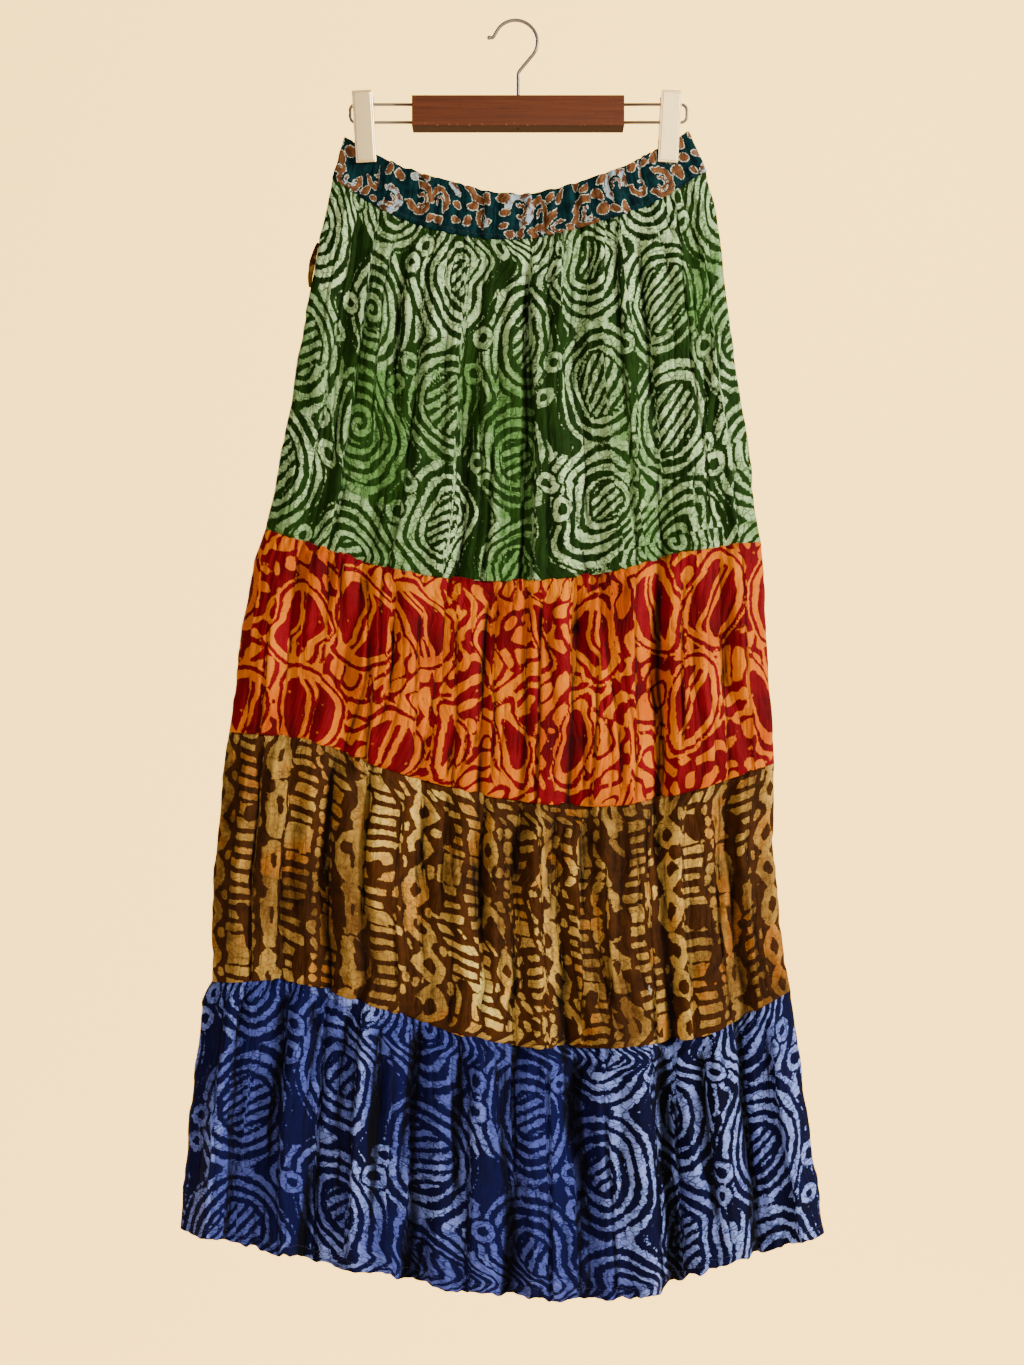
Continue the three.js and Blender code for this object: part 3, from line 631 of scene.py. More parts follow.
def along_the_cut(piece, x, y, z, hidden, tucked):
    """How far each point is along its row of the flat cut, counted from the middle."""
    steps = np.sqrt(np.diff(x, axis=1)**2 + np.diff(y, axis=1)**2 + np.diff(z, axis=1)**2)
    along = np.concatenate([np.zeros((len(x), 1)), np.cumsum(steps, axis=1)], axis=1)
    along = along + hidden + tucked
    share = (along - along[:, :1]) / (along[:, -1:] - along[:, :1])
    return PIECES[piece]["width"] * (share - 0.5)


def panel_points(piece, back, s, v):
    """Middle of the cloth, in millimetres, and each point's place on the flat cut."""
    upper, lower = seam_height(piece, s, back), seam_height(piece + 1, s, back)
    z = upper + (lower - upper) * v
    left, right = side_edge(LEFT_SIDE, z, 51), side_edge(RIGHT_SIDE, z, 52)
    down = piece + v
    flat_depth = LEVELS[piece]["depth"] + (LEVELS[piece + 1]["depth"] - LEVELS[piece]["depth"]) * v
    press = clip_press(s, down)
    fullness = (1 - np.abs(2 * s - 1) ** CORNER_POWER) ** (1 / CORNER_POWER)
    step, hidden = pleats_at(pleat_table(piece, back), s, v)
    waves = fold_depth(BACK_FOLDS if back else FRONT_FOLDS, s, down)
    waves = waves + gather_depth(piece, 1 - s if back else s, v) + step
    waves = waves - valley_depth(piece, back, s, v)
    creases, tucked = crease_height(piece, back, s, v) if piece else (band_gathers(back, s, v), 0)
    waves = waves + creases
    out = np.maximum((flat_depth + puff_depth(piece, v)) * fullness * press,
                     (WALL / 2 + SEAM_GAP) * side_fade(s))
    length = upper - lower
    to_seam = np.minimum(v, 1 - v) * length
    if piece == 0:
        to_seam = (1 - v) * length
    if piece == 4:
        to_seam = v * length
    groove = SEAM_GROOVE * np.exp(-(to_seam / 1.6) ** 2)
    out = out + (waves * np.maximum(press, PRESS["least"]) - groove * press) * side_fade(s)
    z = z + edge_waves(piece, s, v, waves) * side_fade(s)
    y = 0.05 + np.maximum(out, 0.9 * side_fade(s))
    x = left + (right - left) * s
    y = y if back else -y
    return x, y, z, along_the_cut(piece, x, y, z, hidden, tucked), v * length


def hollows(y, back, reach):
    """How far each point lies behind the mean of its neighbours in the row, in millimetres."""
    out = y if back else -y
    padded = np.pad(out, ((0, 0), (reach, reach)), mode="edge")
    total = np.cumsum(np.pad(padded, ((0, 0), (1, 0))), axis=1)
    return (total[:, 2 * reach + 1:] - total[:, :-2 * reach - 1]) / (2 * reach + 1) - out


def painted_fold_shade(y, back, deepest):
    """Painted shade in creases and deep folds: 0 on the open cloth, up to 1 in the deepest."""
    line = 0.62 * smooth(hollows(y, back, 2), 0.10, 0.5)
    fold = hollows(y, back, 10)
    deep = 0.48 * smooth(fold, 0.8, 4.5) + deepest * smooth(fold, 1.5, 2.7)
    return np.minimum(line + deep, 0.92)


def painted_ridge_highlight(y, back):
    """Painted highlight on the ridges: 0 in the folds, up to 1 on the highest ridges."""
    return smooth(-hollows(y, back, 8), 0.3, 3.0)


print("cut widths:", [row["width"] for row in PIECES])

# %% [markdown]
# ## From points to a thin shell
#
# A wall needs an outside and an inside. The outside carries the detail. The inside is seen
# only at the waist and under the hem, so it keeps one point in four each way, which saves
# almost half of the faces. Triangles along the four edges close the shell.

# %% Build a shell from a grid
COARSE = 4       # rim() is written for four steps of the outside to one of the inside


def rim(fine, coarse, forward):
    """Triangles between a fine edge of the outside and the coarse edge of the inside."""
    faces = []
    for k in range(len(coarse) - 1):
        f = fine[k * COARSE:(k + 1) * COARSE + 1]
        g0, g1 = coarse[k], coarse[k + 1]
        faces += [(f[0], f[1], g0), (f[1], f[2], g0), (f[2], g1, g0), (f[2], f[3], g1),
                  (f[3], f[4], g1)]
    return faces if forward else [face[::-1] for face in faces]


def grid_quads(index):
    quads = np.stack([index[:-1, :-1], index[1:, :-1], index[1:, 1:], index[:-1, 1:]], axis=-1)
    return quads.reshape(-1, 4)


def shell_faces(outside, inside, flip):
    """All faces of a shell from its two grids of point numbers."""
    faces = grid_quads(outside).tolist() + grid_quads(inside)[:, ::-1].tolist()
    faces += rim(outside[0], inside[0], True) + rim(outside[-1], inside[-1], False)
    faces += rim(outside[:, 0], inside[:, 0], False) + rim(outside[:, -1], inside[:, -1], True)
    return [face[::-1] for face in faces] if flip else faces


def level_normals(x, y, back):
    """Directions out of the cloth, level with the ground."""
    dx, dy = np.gradient(x, axis=1), np.gradient(y, axis=1)
    nx, ny = dy, -dx
    size = np.sqrt(nx**2 + ny**2) + 1e-9
    nx, ny = nx / size, ny / size
    if back:
        nx, ny = -nx, -ny
    nx[:, 0], ny[:, 0], nx[:, -1], ny[:, -1] = -1, 0, 1, 0
    return nx, ny


def add_mesh(name, points, faces):
    """A smooth-shaded piece from its points and faces."""
    mesh = bpy.data.meshes.new(name)
    mesh.from_pydata(np.asarray(points).tolist(), [], faces)
    mesh.polygons.foreach_set("use_smooth", np.ones(len(mesh.polygons), bool))
    mesh.update()
    return add_object(name, mesh)


def tube_faces(rings, sides):
    """The faces of a tube whose points stand in rings, with its two round ends."""
    faces = []
    for ring in range(rings - 1):
        for k in range(sides):
            a, b = ring * sides + k, ring * sides + (k + 1) % sides
            faces.append((a, b, b + sides, a + sides))
    last = (rings - 1) * sides
    return faces + [tuple(range(sides))[::-1], tuple(range(last, last + sides))]


def shell(name, outer, inner, flip):
    """A thin closed wall from its two surfaces, the inner one thinned out."""
    inner = inner[::COARSE, ::COARSE]
    outside = np.arange(outer[..., 0].size).reshape(outer.shape[:2])
    inside = outside.size + np.arange(inner[..., 0].size).reshape(inner.shape[:2])
    points = np.concatenate([outer.reshape(-1, 3), inner.reshape(-1, 3)]) * MM
    return add_mesh(name, points, shell_faces(outside, inside, flip))


def both_walls(grid):
    """The values of a grid for the points of a shell: all of them, then the inner ones."""
    return np.concatenate([grid.ravel(), grid[::COARSE, ::COARSE].ravel()])


def store_map(mesh, across, along):
    """The place on the flat cut as a UV map, in metres."""
    layer = mesh.uv_layers.new(name="cut")
    corner = np.empty(len(mesh.loops), int)
    mesh.loops.foreach_get("vertex_index", corner)
    pairs = np.stack([across[corner], along[corner]], axis=1) * MM
    layer.data.foreach_set("uv", pairs.astype(np.float32).ravel())


def store_field(mesh, name, values):
    """One number for each point, for the shader."""
    made = mesh.attributes.new(name, "FLOAT", "POINT")
    made.data.foreach_set("value", np.asarray(values, np.float32))


def stands_for(piece, node):
    """Puts a piece in the place of a solid, on the same body."""
    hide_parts(node)
    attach(piece, "root")


print("shell builder ready")

# %% [markdown]
# ## Batik as distances
#
# Wax-resist lines are drawn by hand, so their edges wander, but their plan is simple: ovals
# inside ovals, rings in pairs, ladders of bars. The plan is kept as a distance to the edge of
# the wax, in millimetres and worked out for each point of the cloth: positive inside the
# wax, negative in the dyed ground. A distance stays sharp when the shader cuts it at zero,
# even between the points, and the shader adds the ragged edge.

# %% Whorls and rings, for the first and the last tier
WHORLS = {
    "tier_1": {"across": 101, "down": 104, "first": 60, "step": 9.1, "half": 2.4},
    "tier_4": {"across": 106, "down": 110, "first": 84, "step": 9.3, "half": 2.2},
}
RING_RADIUS, RING_HALF = 6.4, 2.4
FAR_OUTSIDE = -9.0       # a distance where nothing is drawn


def hand_wobble(u, v, seed, size=1.7):
    """Shifts a drawing as an unsteady hand does."""
    du = size * drift(u, v, 56, seed) + 0.22 * size * drift(u, v, 13, seed + 1)
    dv = size * drift(u, v, 60, seed + 2) + 0.22 * size * drift(u, v, 14, seed + 3)
    return u + du, v + dv


def turned(du, dv, angle):
    """A place as seen by a motif that is turned by an angle."""
    return (du * math.cos(angle) + dv * math.sin(angle),
            dv * math.cos(angle) - du * math.sin(angle))


def whorl_columns(width, length, plan, seed):
    """Columns of whorls, and the pairs of rings that stand between them."""
    random = np.random.default_rng(seed)
    pitch_u, pitch_v, first_v = plan["across"], plan["down"], plan["first"]
    columns, rings = [], []
    count = int(width / pitch_u) + 2
    for i in range(count):
        u = (i - count / 2 + 0.5) * pitch_u
        shift = 0.22 * pitch_v * (1 if i % 2 else -1)
        column = []
        for j in range(-1, int(length / pitch_v) + 2):
            v = first_v + shift + j * pitch_v
            place = (u + random.uniform(-5, 5), v + random.uniform(-6, 6))
            column.append((*place, 0.40 * pitch_u * random.uniform(0.92, 1.06),
                           0.455 * pitch_v * random.uniform(0.93, 1.04),
                           random.uniform(-0.25, 0.25), int(random.integers(0, 5))))
            ring_u = u + pitch_u / 2 + random.uniform(-3, 3)
            ring_v = v + pitch_v / 2 - shift / 2 + random.uniform(-5, 5)
            apart, lean = random.uniform(7.5, 16), random.uniform(-7, 7)
            rings += [(ring_u - lean, ring_v - apart, random.uniform(0.85, 1.15)),
                      (ring_u + lean, ring_v + apart, random.uniform(0.85, 1.15))]
        columns.append(column)
    return columns, rings


def whorl_core(du, dv, reach, style, number, step):
    """The heart of a whorl: slanting strokes, or a line that winds to the middle."""
    size = (2.95 if style > 2 else 1.95) * step
    if style == 1:
        turns = reach / step + np.arctan2(dv, du) / (2 * np.pi)
        strokes = 2.4 - np.abs(turns - np.round(turns)) * step
    else:
        angle = (0.55, 0.95, 0.75)[number % 3]
        across = du * math.sin(angle) + dv * math.cos(angle)
        strokes = 2.2 - np.abs(across / 8.2 - np.round(across / 8.2)) * 8.2
    return np.where(reach < size, np.minimum(strokes, size - 2.4 - reach), 99)


def whorl_field(u, v, plan, columns, rings, seed):
    """Distance into the wax, and a slow tone, for a cloth of whorls and rings."""
    pu, pv = hand_wobble(u, v, seed, 1.15)
    period = plan["step"]
    level = np.full_like(u, 1e9)
    best = np.full_like(u, 1e9)
    core, tone = np.full_like(u, 99.0), np.zeros_like(u)
    blend, number = 5.0, 0
    for column in columns:
        closeness = np.full_like(u, 1e-12)
        for cu, cv, half_u, half_v, tilt, style in column:
            number += 1
            du, dv = turned(pu - cu, pv - cv, tilt)
            mean = math.sqrt(half_u * half_v)
            reach = np.sqrt((du / half_u) ** 2 + (dv / half_v) ** 2) * mean
            closeness += np.exp(-(reach - mean) / blend)
            nearer = reach - mean < best
            best = np.where(nearer, reach - mean, best)
            heart = whorl_core(du, dv, reach, style, number, period)
            core = np.where(nearer, heart, core)
            tone = np.where(nearer, math.sin(3.7 * number), tone)
        level = np.minimum(level, -blend * np.log(closeness))
    width = plan["half"] + 0.7 * drift(u, v, 32, seed + 5)
    steps = level / period - 0.5
    wax = width - np.abs(steps - np.round(steps)) * period
    reach_out = (1.3 + 1.2 * smooth(drift(u, v, 120, seed + 6), 0.2, 0.7)) * period
    wax = np.minimum(wax, reach_out - level)
    wax = np.where(core < 50, core, wax)
    for cu, cv, size in rings:
        away = np.hypot(pu - cu, (pv - cv) * 0.95)
        wax = np.minimum(wax, away - size * RING_RADIUS - RING_HALF - 2.4)
        wax = np.maximum(wax, RING_HALF - np.abs(away - size * RING_RADIUS))
    tone = 0.45 * tone + 0.7 * drift(u, v, 110, seed + 8)
    return wax, tone


print("whorls ready")

# %% [markdown]
# The second tier is a red and orange print: tall ovals with a thin red outline, an orange
# band and a red heart that a slanting orange line divides. Between them run squiggles. A sum
# of waves that all have the same length but random directions gives just such a labyrinth.

# %% Ovals and squiggles, for the second tier


def labyrinth(u, v, wave, seed, count=44):
    """A field of even squiggles: equal waves in random directions."""
    random = np.random.default_rng(seed)
    total = np.zeros_like(u)
    for _ in range(count):
        angle = random.uniform(0, np.pi)
        k = 2 * np.pi / (wave * random.uniform(0.85, 1.2))
        total += np.cos(k * (u * math.cos(angle) + v * math.sin(angle)) + random.uniform(0, 6.28))
    return total / math.sqrt(count / 2)


def oval_rows(width, seed):
    """Two rows of ovals, some of them narrow."""
    random = np.random.default_rng(seed)
    rows = []
    pitch = 76
    columns = int(width / pitch) + 2
    for i in range(columns):
        for j, middle in enumerate((54, 142)):
            u = (i - columns / 2 + 0.5 * (j + 1)) * pitch + random.uniform(-8, 8)
            v = middle + random.uniform(-15, 15)
            narrow = random.uniform() < 0.3
            half_u = random.uniform(14, 18) if narrow else random.uniform(26, 33)
            rows.append((u, v, half_u, random.uniform(33, 43), random.uniform(-0.35, 0.35), narrow))
    return rows


def oval_field(u, v, ovals, seed):
    """Positive where the cloth is red, negative where it is orange."""
    pu, pv = hand_wobble(u, v, seed, 2.0)
    blobs = labyrinth(pu, pv * 0.8, 13.5, seed + 4) * 2.3 + 0.8 + 0.8 * drift(u, v, 60, seed + 6)
    loops = 2.1 - np.abs(labyrinth(pu, pv * 0.75, 20, seed + 5) * 3.6 - 0.8)
    share = smooth(drift(u, v, 100, seed + 7), -0.6, -0.1)
    red = blobs * (1 - share) + loops * share
    for cu, cv, half_u, half_v, tilt, narrow in ovals:
        du, dv = turned(pu - cu, pv - cv, tilt)
        if narrow:
            du = du * (1.15 - 0.35 * np.clip(dv / half_v, -1, 1))
        mean = math.sqrt(half_u * half_v)
        edge = (np.sqrt((du / half_u) ** 2 + (dv / half_v) ** 2) - 1) * mean
        outside = np.minimum(red, edge - 3.4)
        heart = -8.2 - edge
        middle = np.abs(du + 0.14 * dv)
        if not narrow:
            heart = np.minimum(heart, middle - 5.6)
            heart = np.maximum(heart, np.minimum(1.7 - middle, -10 - edge))
        inside = np.maximum(heart, 1.9 - np.abs(edge + 0.2))
        red = np.where(edge > 1.6, outside, inside)
    tone = 0.8 * drift(u, v, 90, seed + 8)
    return red, tone


print("ovals ready")

# %% [markdown]
# The third tier is printed in upright columns: ladders of short bars, chains of lozenges,
# strings of dots and tall solid leaves, all in tan on brown. Each kind of column is a small
# formula in its own width, and a list says in which order the columns follow each other.

# %% Ladders, chains, dots and leaves, for the third tier
COLUMN_KINDS = [  # kind, width in millimetres, start down the cloth
    ("dots", 13, 2), ("leaf", 20, 30), ("ladder", 23, 3), ("dots", 8, 5), ("ladder", 21, 8),
    ("leaf", 27, 12), ("ladder", 27, 0), ("dots", 9, 7), ("chain", 31, 8), ("ladder", 27, 4),
    ("ladder", 21, 9), ("chain", 24, 22), ("dots", 8, 3), ("ladder", 17, 5), ("dots", 9, 8),
    ("chain", 27, 15), ("ladder", 12, 6), ("ladder", 30, 2), ("dots", 10, 6), ("leaf", 20, 44),
    ("ladder", 18, 7), ("ladder", 28, 1), ("chain", 30, 3), ("ladder", 24, 6), ("dots", 9, 4),
    ("leaf", 22, 18), ("ladder", 25, 5), ("chain", 28, 12), ("ladder", 22, 3),
]


def column_ladder(x, y, width, seed):
    """Short bars, one above the other."""
    pitch = 11.2
    y = y + 0.13 * x * math.sin(seed)
    row = np.round(y / pitch)
    away = np.abs(y - row * pitch)
    half = width / 2 - 0.9 + 1.3 * np.sin(row * 2.3 + seed)
    tall = 3.7 + 0.7 * np.sin(row * 1.7 + 2 * seed) + 3.4 * (np.sin(row * 0.61 + seed) > 0.9)
    return np.minimum(half - np.abs(x), tall - away) - 0.25 * np.hypot(
        np.maximum(np.abs(x) - half + 3, 0), np.maximum(away - tall + 3, 0))


def column_chain(x, y, width, _seed):
    """Lozenges with an open middle, and a dot at each joint."""
    pitch = 33.0
    y = (y / pitch - np.round(y / pitch)) * pitch
    half = width / 2 - 2
    reach = ((np.abs(x) / half) ** 1.3 + (np.abs(y) / 17.5) ** 1.3) ** (1 / 1.3)
    ring = (0.31 - np.abs(reach - 0.72)) * half
    drop = 3.0 - np.hypot(np.abs(x) - half - 0.5, np.abs(y) - 15)
    return np.maximum(ring, drop)


def column_dots(x, y, width, seed):
    """A string of dots."""
    pitch = 10.5
    row = np.round(y / pitch)
    away = np.hypot(x - 1.2 * np.sin(row * 2.9 + seed), (y - row * pitch) * 0.8)
    return min(width / 2 - 0.8, 4.4) + 0.9 * np.sin(row * 1.9 + seed) - away


def column_leaf(x, y, width, seed):
    """Tall solid leaves with a slit."""
    pitch = 46.0
    row = np.round(y / pitch)
    y = y - row * pitch
    half = width / 2 + 0.8
    body = (1 - (np.abs(x / half) ** 1.7 + np.abs(y / 24) ** 1.7) ** (1 / 1.7)) * half
    slit = np.hypot(x * (1.5 + 0.05 * y), (y - 5 * np.sin(row + seed)) * 0.40) - 3.0
    jag = 1.3 * drift(x + 40 * seed, y + 70 * row, 11, 77)
    return np.minimum(body + jag, slit)


COLUMN_SHAPES = {"ladder": column_ladder, "chain": column_chain, "dots": column_dots,
                 "leaf": column_leaf}
COLUMN_GAP = 2.5


def column_field(u, v, first, seed):
    """Distance into the wax, and a tone, for the printed columns."""
    pu, pv = hand_wobble(u, v, seed, 2.2)
    total = sum(width + COLUMN_GAP for _, width, _ in COLUMN_KINDS)
    place = (pu + first) % total
    wax = np.full_like(u, -6.0)
    start = 0.0
    for number, (kind, width, begin) in enumerate(COLUMN_KINDS):
        x = place - start - width / 2
        here = (place >= start) & (place < start + width + COLUMN_GAP)
        shape = COLUMN_SHAPES[kind](x, pv + begin, width, number + 1.3)
        wax = np.where(here, shape, wax)
        start += width + COLUMN_GAP
    bare = 3.0 - 9 * smooth(drift(u, v, 34, seed + 10), 0.75, 1.3)
    tone = 0.7 * uneven(u / 24, v / 60, seed + 8) + 0.5 * drift(u, v, 160, seed + 9)
    return np.minimum(wax, bare), tone


print("columns:", len(COLUMN_KINDS))

# %% [markdown]
# The waistband is another cloth: rust-coloured hooks, arcs and spots on a teal ground, each
# with a white outline. Arcs are rings with a gap, and spots are small uneven ovals.

# %% Hooks and spots, for the waistband


def scroll_rows(width, seed):
    """Hooks with a smaller hook inside, and between them uneven spots."""
    random = np.random.default_rng(seed)
    rows = []
    u = -width / 2
    while u < width / 2 + 20:
        if random.uniform() < 0.62:
            v, size = random.uniform(9, 31), random.uniform(8, 12.5)
            turn = random.uniform(-3.1, 3.1)
            rows.append(("arc", u + size / 2, v, size, turn))
            rows.append(("arc", u + size / 2 + 1, v + 1, 0.42 * size, turn + random.uniform(-1, 1)))
            low = 34 if v < 20 else 5
            for aside in (-2, 9):
                rows.append(("spot", u + aside, low + random.uniform(-3, 3),
                             random.uniform(2.2, 4.2), random.uniform(-1.2, 1.2)))
            u += random.uniform(23, 29)
        else:
            v = random.uniform(1, 5)
            while v < 38:
                rows.append(("spot", u + random.uniform(-4, 4), v, random.uniform(2.2, 5),
                             random.uniform(-1.5, 1.5)))
                v += random.uniform(10, 15)
            u += random.uniform(11, 14)
    return rows


def scroll_field(u, v, rows, seed):
    """Distance into the rust-coloured motifs, and a tone for each of them."""
    pu, pv = hand_wobble(u, v, seed, 1.6)
    rust = np.full_like(u, FAR_OUTSIDE)
    tone = np.zeros_like(u)
    for number, (kind, cu, cv, size, turn) in enumerate(rows):
        du, dv = pu - cu, pv - cv
        if kind == "arc":
            away = np.hypot(du, dv)
            angle = np.abs((np.arctan2(dv, du) - turn + np.pi) % (2 * np.pi) - np.pi)
            teeth = 0.45 * np.cos(11 * angle) * (away > size)
            shape = np.minimum(0.24 * size + teeth - np.abs(away - size), (2.3 - angle) * size)
        else:
            long = du * math.cos(turn) + dv * math.sin(turn)
            wide = dv * math.cos(turn) - du * math.sin(turn) * (1 + 0.05 * long)
            shape = (1 - np.sqrt((long / (1.6 * size)) ** 2 + (wide / size) ** 2)) * size
        tone = np.where(shape > rust, math.sin(5.3 * number + seed), tone)
        rust = np.maximum(rust, shape)
    return rust, tone


print("scrolls ready")

# %% [markdown]
# ## Finishes of the five cloths
#
# All five are the same crinkled cotton, so they share a function for the fine relief and the
# soft sheen. On top, each has its dyes. Wax cracks when the cloth is folded, and dye seeps in
# through the cracks, so thin darker lines cross the pale areas, with small specks.

# %% Cotton relief and ragged edges


def crinkled_cotton(name):
    """Matt cloth with long fine creases and the grain of the threads, not yet dyed."""
    finish = Finish(name, roughness=0.78, fixed={"Sheen Weight": 0.01, "Sheen Roughness": 0.4,
                                                 "Specular IOR Level": 0.1})
    place = finish.cut_map()
    creases = finish.noise(finish.stretched(place, 0.0042, 0.05), detail=3, roughness=0.6)
    grain = finish.noise(finish.stretched(place, 0.0009, 0.0012), detail=1)
    finish.bump(creases + grain * 0.10, distance=0.0026, strength=0.8)
    return finish, place, creases


def print_with_fold_shade(finish, printed, creases):
    """The finished cloth: its print, with painted shade in the folds, mixed towards near-black."""
    # Painted shade in the folds: the print is mixed towards near-black by the stored fold field.
    finish.colour(finish.mix(finish.field("hollow"), printed, linear(3, 3, 4)))
    finish.roughness(0.72 + creases * 0.14)
    return finish.material


def ragged(finish, place, depth_mm):
    """A small uneven shift for the edge of a printed shape, in millimetres."""
    coarse = finish.noise(finish.stretched(place, 0.0042, 0.0042), detail=2)
    fine = finish.noise(finish.stretched(place, 0.0013, 0.0013), detail=1)
    return (coarse - 0.5) * (3.0 * depth_mm) + (fine - 0.5) * (1.1 * depth_mm)


def wax_cracks(finish, place):
    """Thin lines where dye has seeped through cracked wax: 1 on a crack, 0 elsewhere."""
    settings = {"feature": "DISTANCE_TO_EDGE"}
    inputs = {"Vector": finish.stretched(place, 0.0075, 0.0052), "Scale": 1.0,
              "Randomness": 1.0}
    edges = finish.node("ShaderNodeTexVoronoi", settings, inputs)
    patchy = finish.noise(finish.stretched(place, 0.016, 0.016), detail=1)
    return (1 - edges.between(0.015, 0.085)) * patchy.between(0.36, 0.52)


def specks(finish, place, size, share):
    """Small round specks: 1 on a speck, 0 elsewhere."""
    settings = {"feature": "F1"}
    inputs = {"Vector": finish.stretched(place, size, size), "Scale": 1.0}
    return 1 - finish.node("ShaderNodeTexVoronoi", settings, inputs).between(share, share + 0.06)


print("cotton ready")

# %% [markdown]
# Each dyer below reads the distances, the tone and the painted fold shade from the cloth's
# points. The distance cuts the wax from the ground, the tone says how strongly the dye has
# taken, with a painted highlight added on the ridges, and a mottled noise makes both a little
# uneven.

# %% Dyes


def whorl_cotton(name, ground, deep, pale, mid, raggedness):
    """Wax whorls left pale on a dark dyed ground."""
    finish, place, creases = crinkled_cotton(name)
    wax = (finish.field("wax") + ragged(finish, place, raggedness)).between(-0.3, 0.35)
    tone = finish.field("tone")
    mottle = finish.noise(finish.stretched(place, 0.011, 0.015), detail=4, roughness=0.65)
    light = (tone * 0.5 + (mottle - 0.5) * 1.6 + 0.42).clipped()
    drawn = finish.mix(light, mid, pale)
    seeped = finish.noise(finish.stretched(place, 0.0032, 0.0048), detail=3, roughness=0.7)
    spoiled = wax_cracks(finish, place) * 0.75 + specks(finish, place, 0.006, 0.13) * 0.6
    spoiled = spoiled + seeped.between(0.5, 0.68) * (0.3 * raggedness)
    drawn = finish.mix(spoiled.at_most(0.85), drawn, ground)
    dyed = finish.mix((mottle * 1.3 - tone * 0.15 - 0.1).clipped(), deep, ground)
    return print_with_fold_shade(finish, finish.mix(wax, dyed, drawn), creases)


def oval_cotton(name):
    """Red drawing on a mottled orange ground."""
    finish, place, creases = crinkled_cotton(name)
    red = (finish.field("wax") + ragged(finish, place, 0.75)).between(-0.25, 0.25)
    tone = finish.field("tone")
    mottle = finish.noise(finish.stretched(place, 0.012, 0.016), detail=4, roughness=0.6)
    light = (tone * 0.35 + (mottle - 0.5) * 1.3 + 0.55).clipped()
    orange = finish.mix(light, linear(206, 84, 0), linear(244, 136, 0))
    orange = finish.mix(specks(finish, place, 0.007, 0.10) * 0.5, orange, linear(140, 44, 6))
    reds = finish.mix(light, linear(88, 3, 12), linear(142, 7, 25))
    reds = finish.mix(specks(finish, place, 0.012, 0.07) * 0.6, reds, linear(236, 130, 40))
    return print_with_fold_shade(finish, finish.mix(red, orange, reds), creases)


def column_cotton(name):
    """Tan columns on brown, with a pale stain."""
    finish, place, creases = crinkled_cotton(name)
    wax = (finish.field("wax") + ragged(finish, place, 1.3)).between(-0.3, 0.35)
    tone = finish.field("tone")
    mottle = finish.noise(finish.stretched(place, 0.010, 0.013), detail=4, roughness=0.65)
    light = (tone * 0.5 + (mottle - 0.5) * 1.2 + 0.4).clipped()
    tan = finish.mix(light, linear(114, 78, 32), linear(234, 188, 92))
    rusty = finish.noise(finish.stretched(place, 0.05, 0.06), detail=2).between(0.5, 0.62)
    tan = finish.mix(rusty * 0.45, tan, linear(196, 112, 30))
    tan = finish.mix((tone * 0.8 - 0.8).clipped(), tan, linear(255, 232, 128))
    spoiled = wax_cracks(finish, place) * 0.5 + specks(finish, place, 0.006, 0.11) * 0.5
    tan = finish.mix(spoiled.at_most(0.8), tan, linear(70, 38, 8))
    warm = (mottle * 1.4 + tone * 0.2 - 0.2).clipped()
    brown = finish.mix(warm, linear(28, 14, 3), linear(86, 46, 12))
    printed = finish.mix(wax, brown, tan)
    stain = (finish.field("stain") + ragged(finish, place, 0.5)).between(-0.3, 0.3)
    return print_with_fold_shade(finish, finish.mix(stain * 0.85, printed, linear(178, 176, 170)), creases)


def scroll_cotton(name):
    """Rust-coloured motifs with a broken white outline, on teal."""
    finish, place, creases = crinkled_cotton(name)
    edge = finish.field("wax") + ragged(finish, place, 0.7)
    tone = finish.field("tone")
    mottle = finish.noise(finish.stretched(place, 0.006, 0.007), detail=3)
    ground = finish.mix(mottle.between(0.3, 0.7), linear(2, 26, 34), linear(3, 50, 54))
    rust = finish.mix(mottle.between(0.3, 0.7), linear(90, 54, 32), linear(142, 94, 58))
    washed = finish.mix(tone.between(0.84, 0.94) * mottle.between(0.44, 0.57), rust,
                        linear(170, 200, 220))
    white_line = edge.between(-0.76, -0.56) * (1 - edge.between(-0.12, 0.12))
    painted = finish.mix(edge.between(-0.15, 0.15), ground, washed)
    beads = finish.noise(finish.stretched(place, 0.0016, 0.0016), detail=1)
    broken = mottle.between(0.34, 0.46) * beads.between(0.38, 0.52)
    painted = finish.mix(white_line * broken, painted, linear(234, 234, 216))
    return print_with_fold_shade(finish, painted, creases)


FINISHES = [
    scroll_cotton("teal_scroll_cotton"),
    whorl_cotton("green_whorl_cotton", linear(34, 68, 12), linear(14, 34, 5),
                 linear(206, 242, 182), linear(102, 150, 80), 1.15),
    oval_cotton("orange_oval_cotton"),
    column_cotton("brown_column_cotton"),
    whorl_cotton("blue_whorl_cotton", linear(9, 13, 70), linear(5, 7, 36),
                 linear(144, 166, 255), linear(82, 94, 180), 1.5),
]
print("finishes:", ", ".join(material.name for material in FINISHES))

# %% [markdown]
# ## Sewing the panels
#
# Now each half of each ring is built: points, thickness, print and finish. The upper edge of
# a tier reaches up a little inside the piece above, as a seam allowance does, so no light
# shows through the seam. Each panel replaces its plain solid.

# %% Panels
FRONT_GRID = [(480, 32), (400, 152), (400, 120), (400, 128), (420, 132)]  # columns and rows
BACK_GRID = [(480, 32), (300, 112), (300, 84), (300, 92), (300, 96)]
TUCK_UP = 2.2        # how far a tier reaches up inside the piece above
TUCK_IN = 1.5        # and how far inwards it leans there
# Painted shade: extra darkening of the deepest folds, for each ring.
DEEPEST_FOLD_SHADE = [0, 0, 0, 0, 0.5]  # how much darker still the deepest folds of each ring are


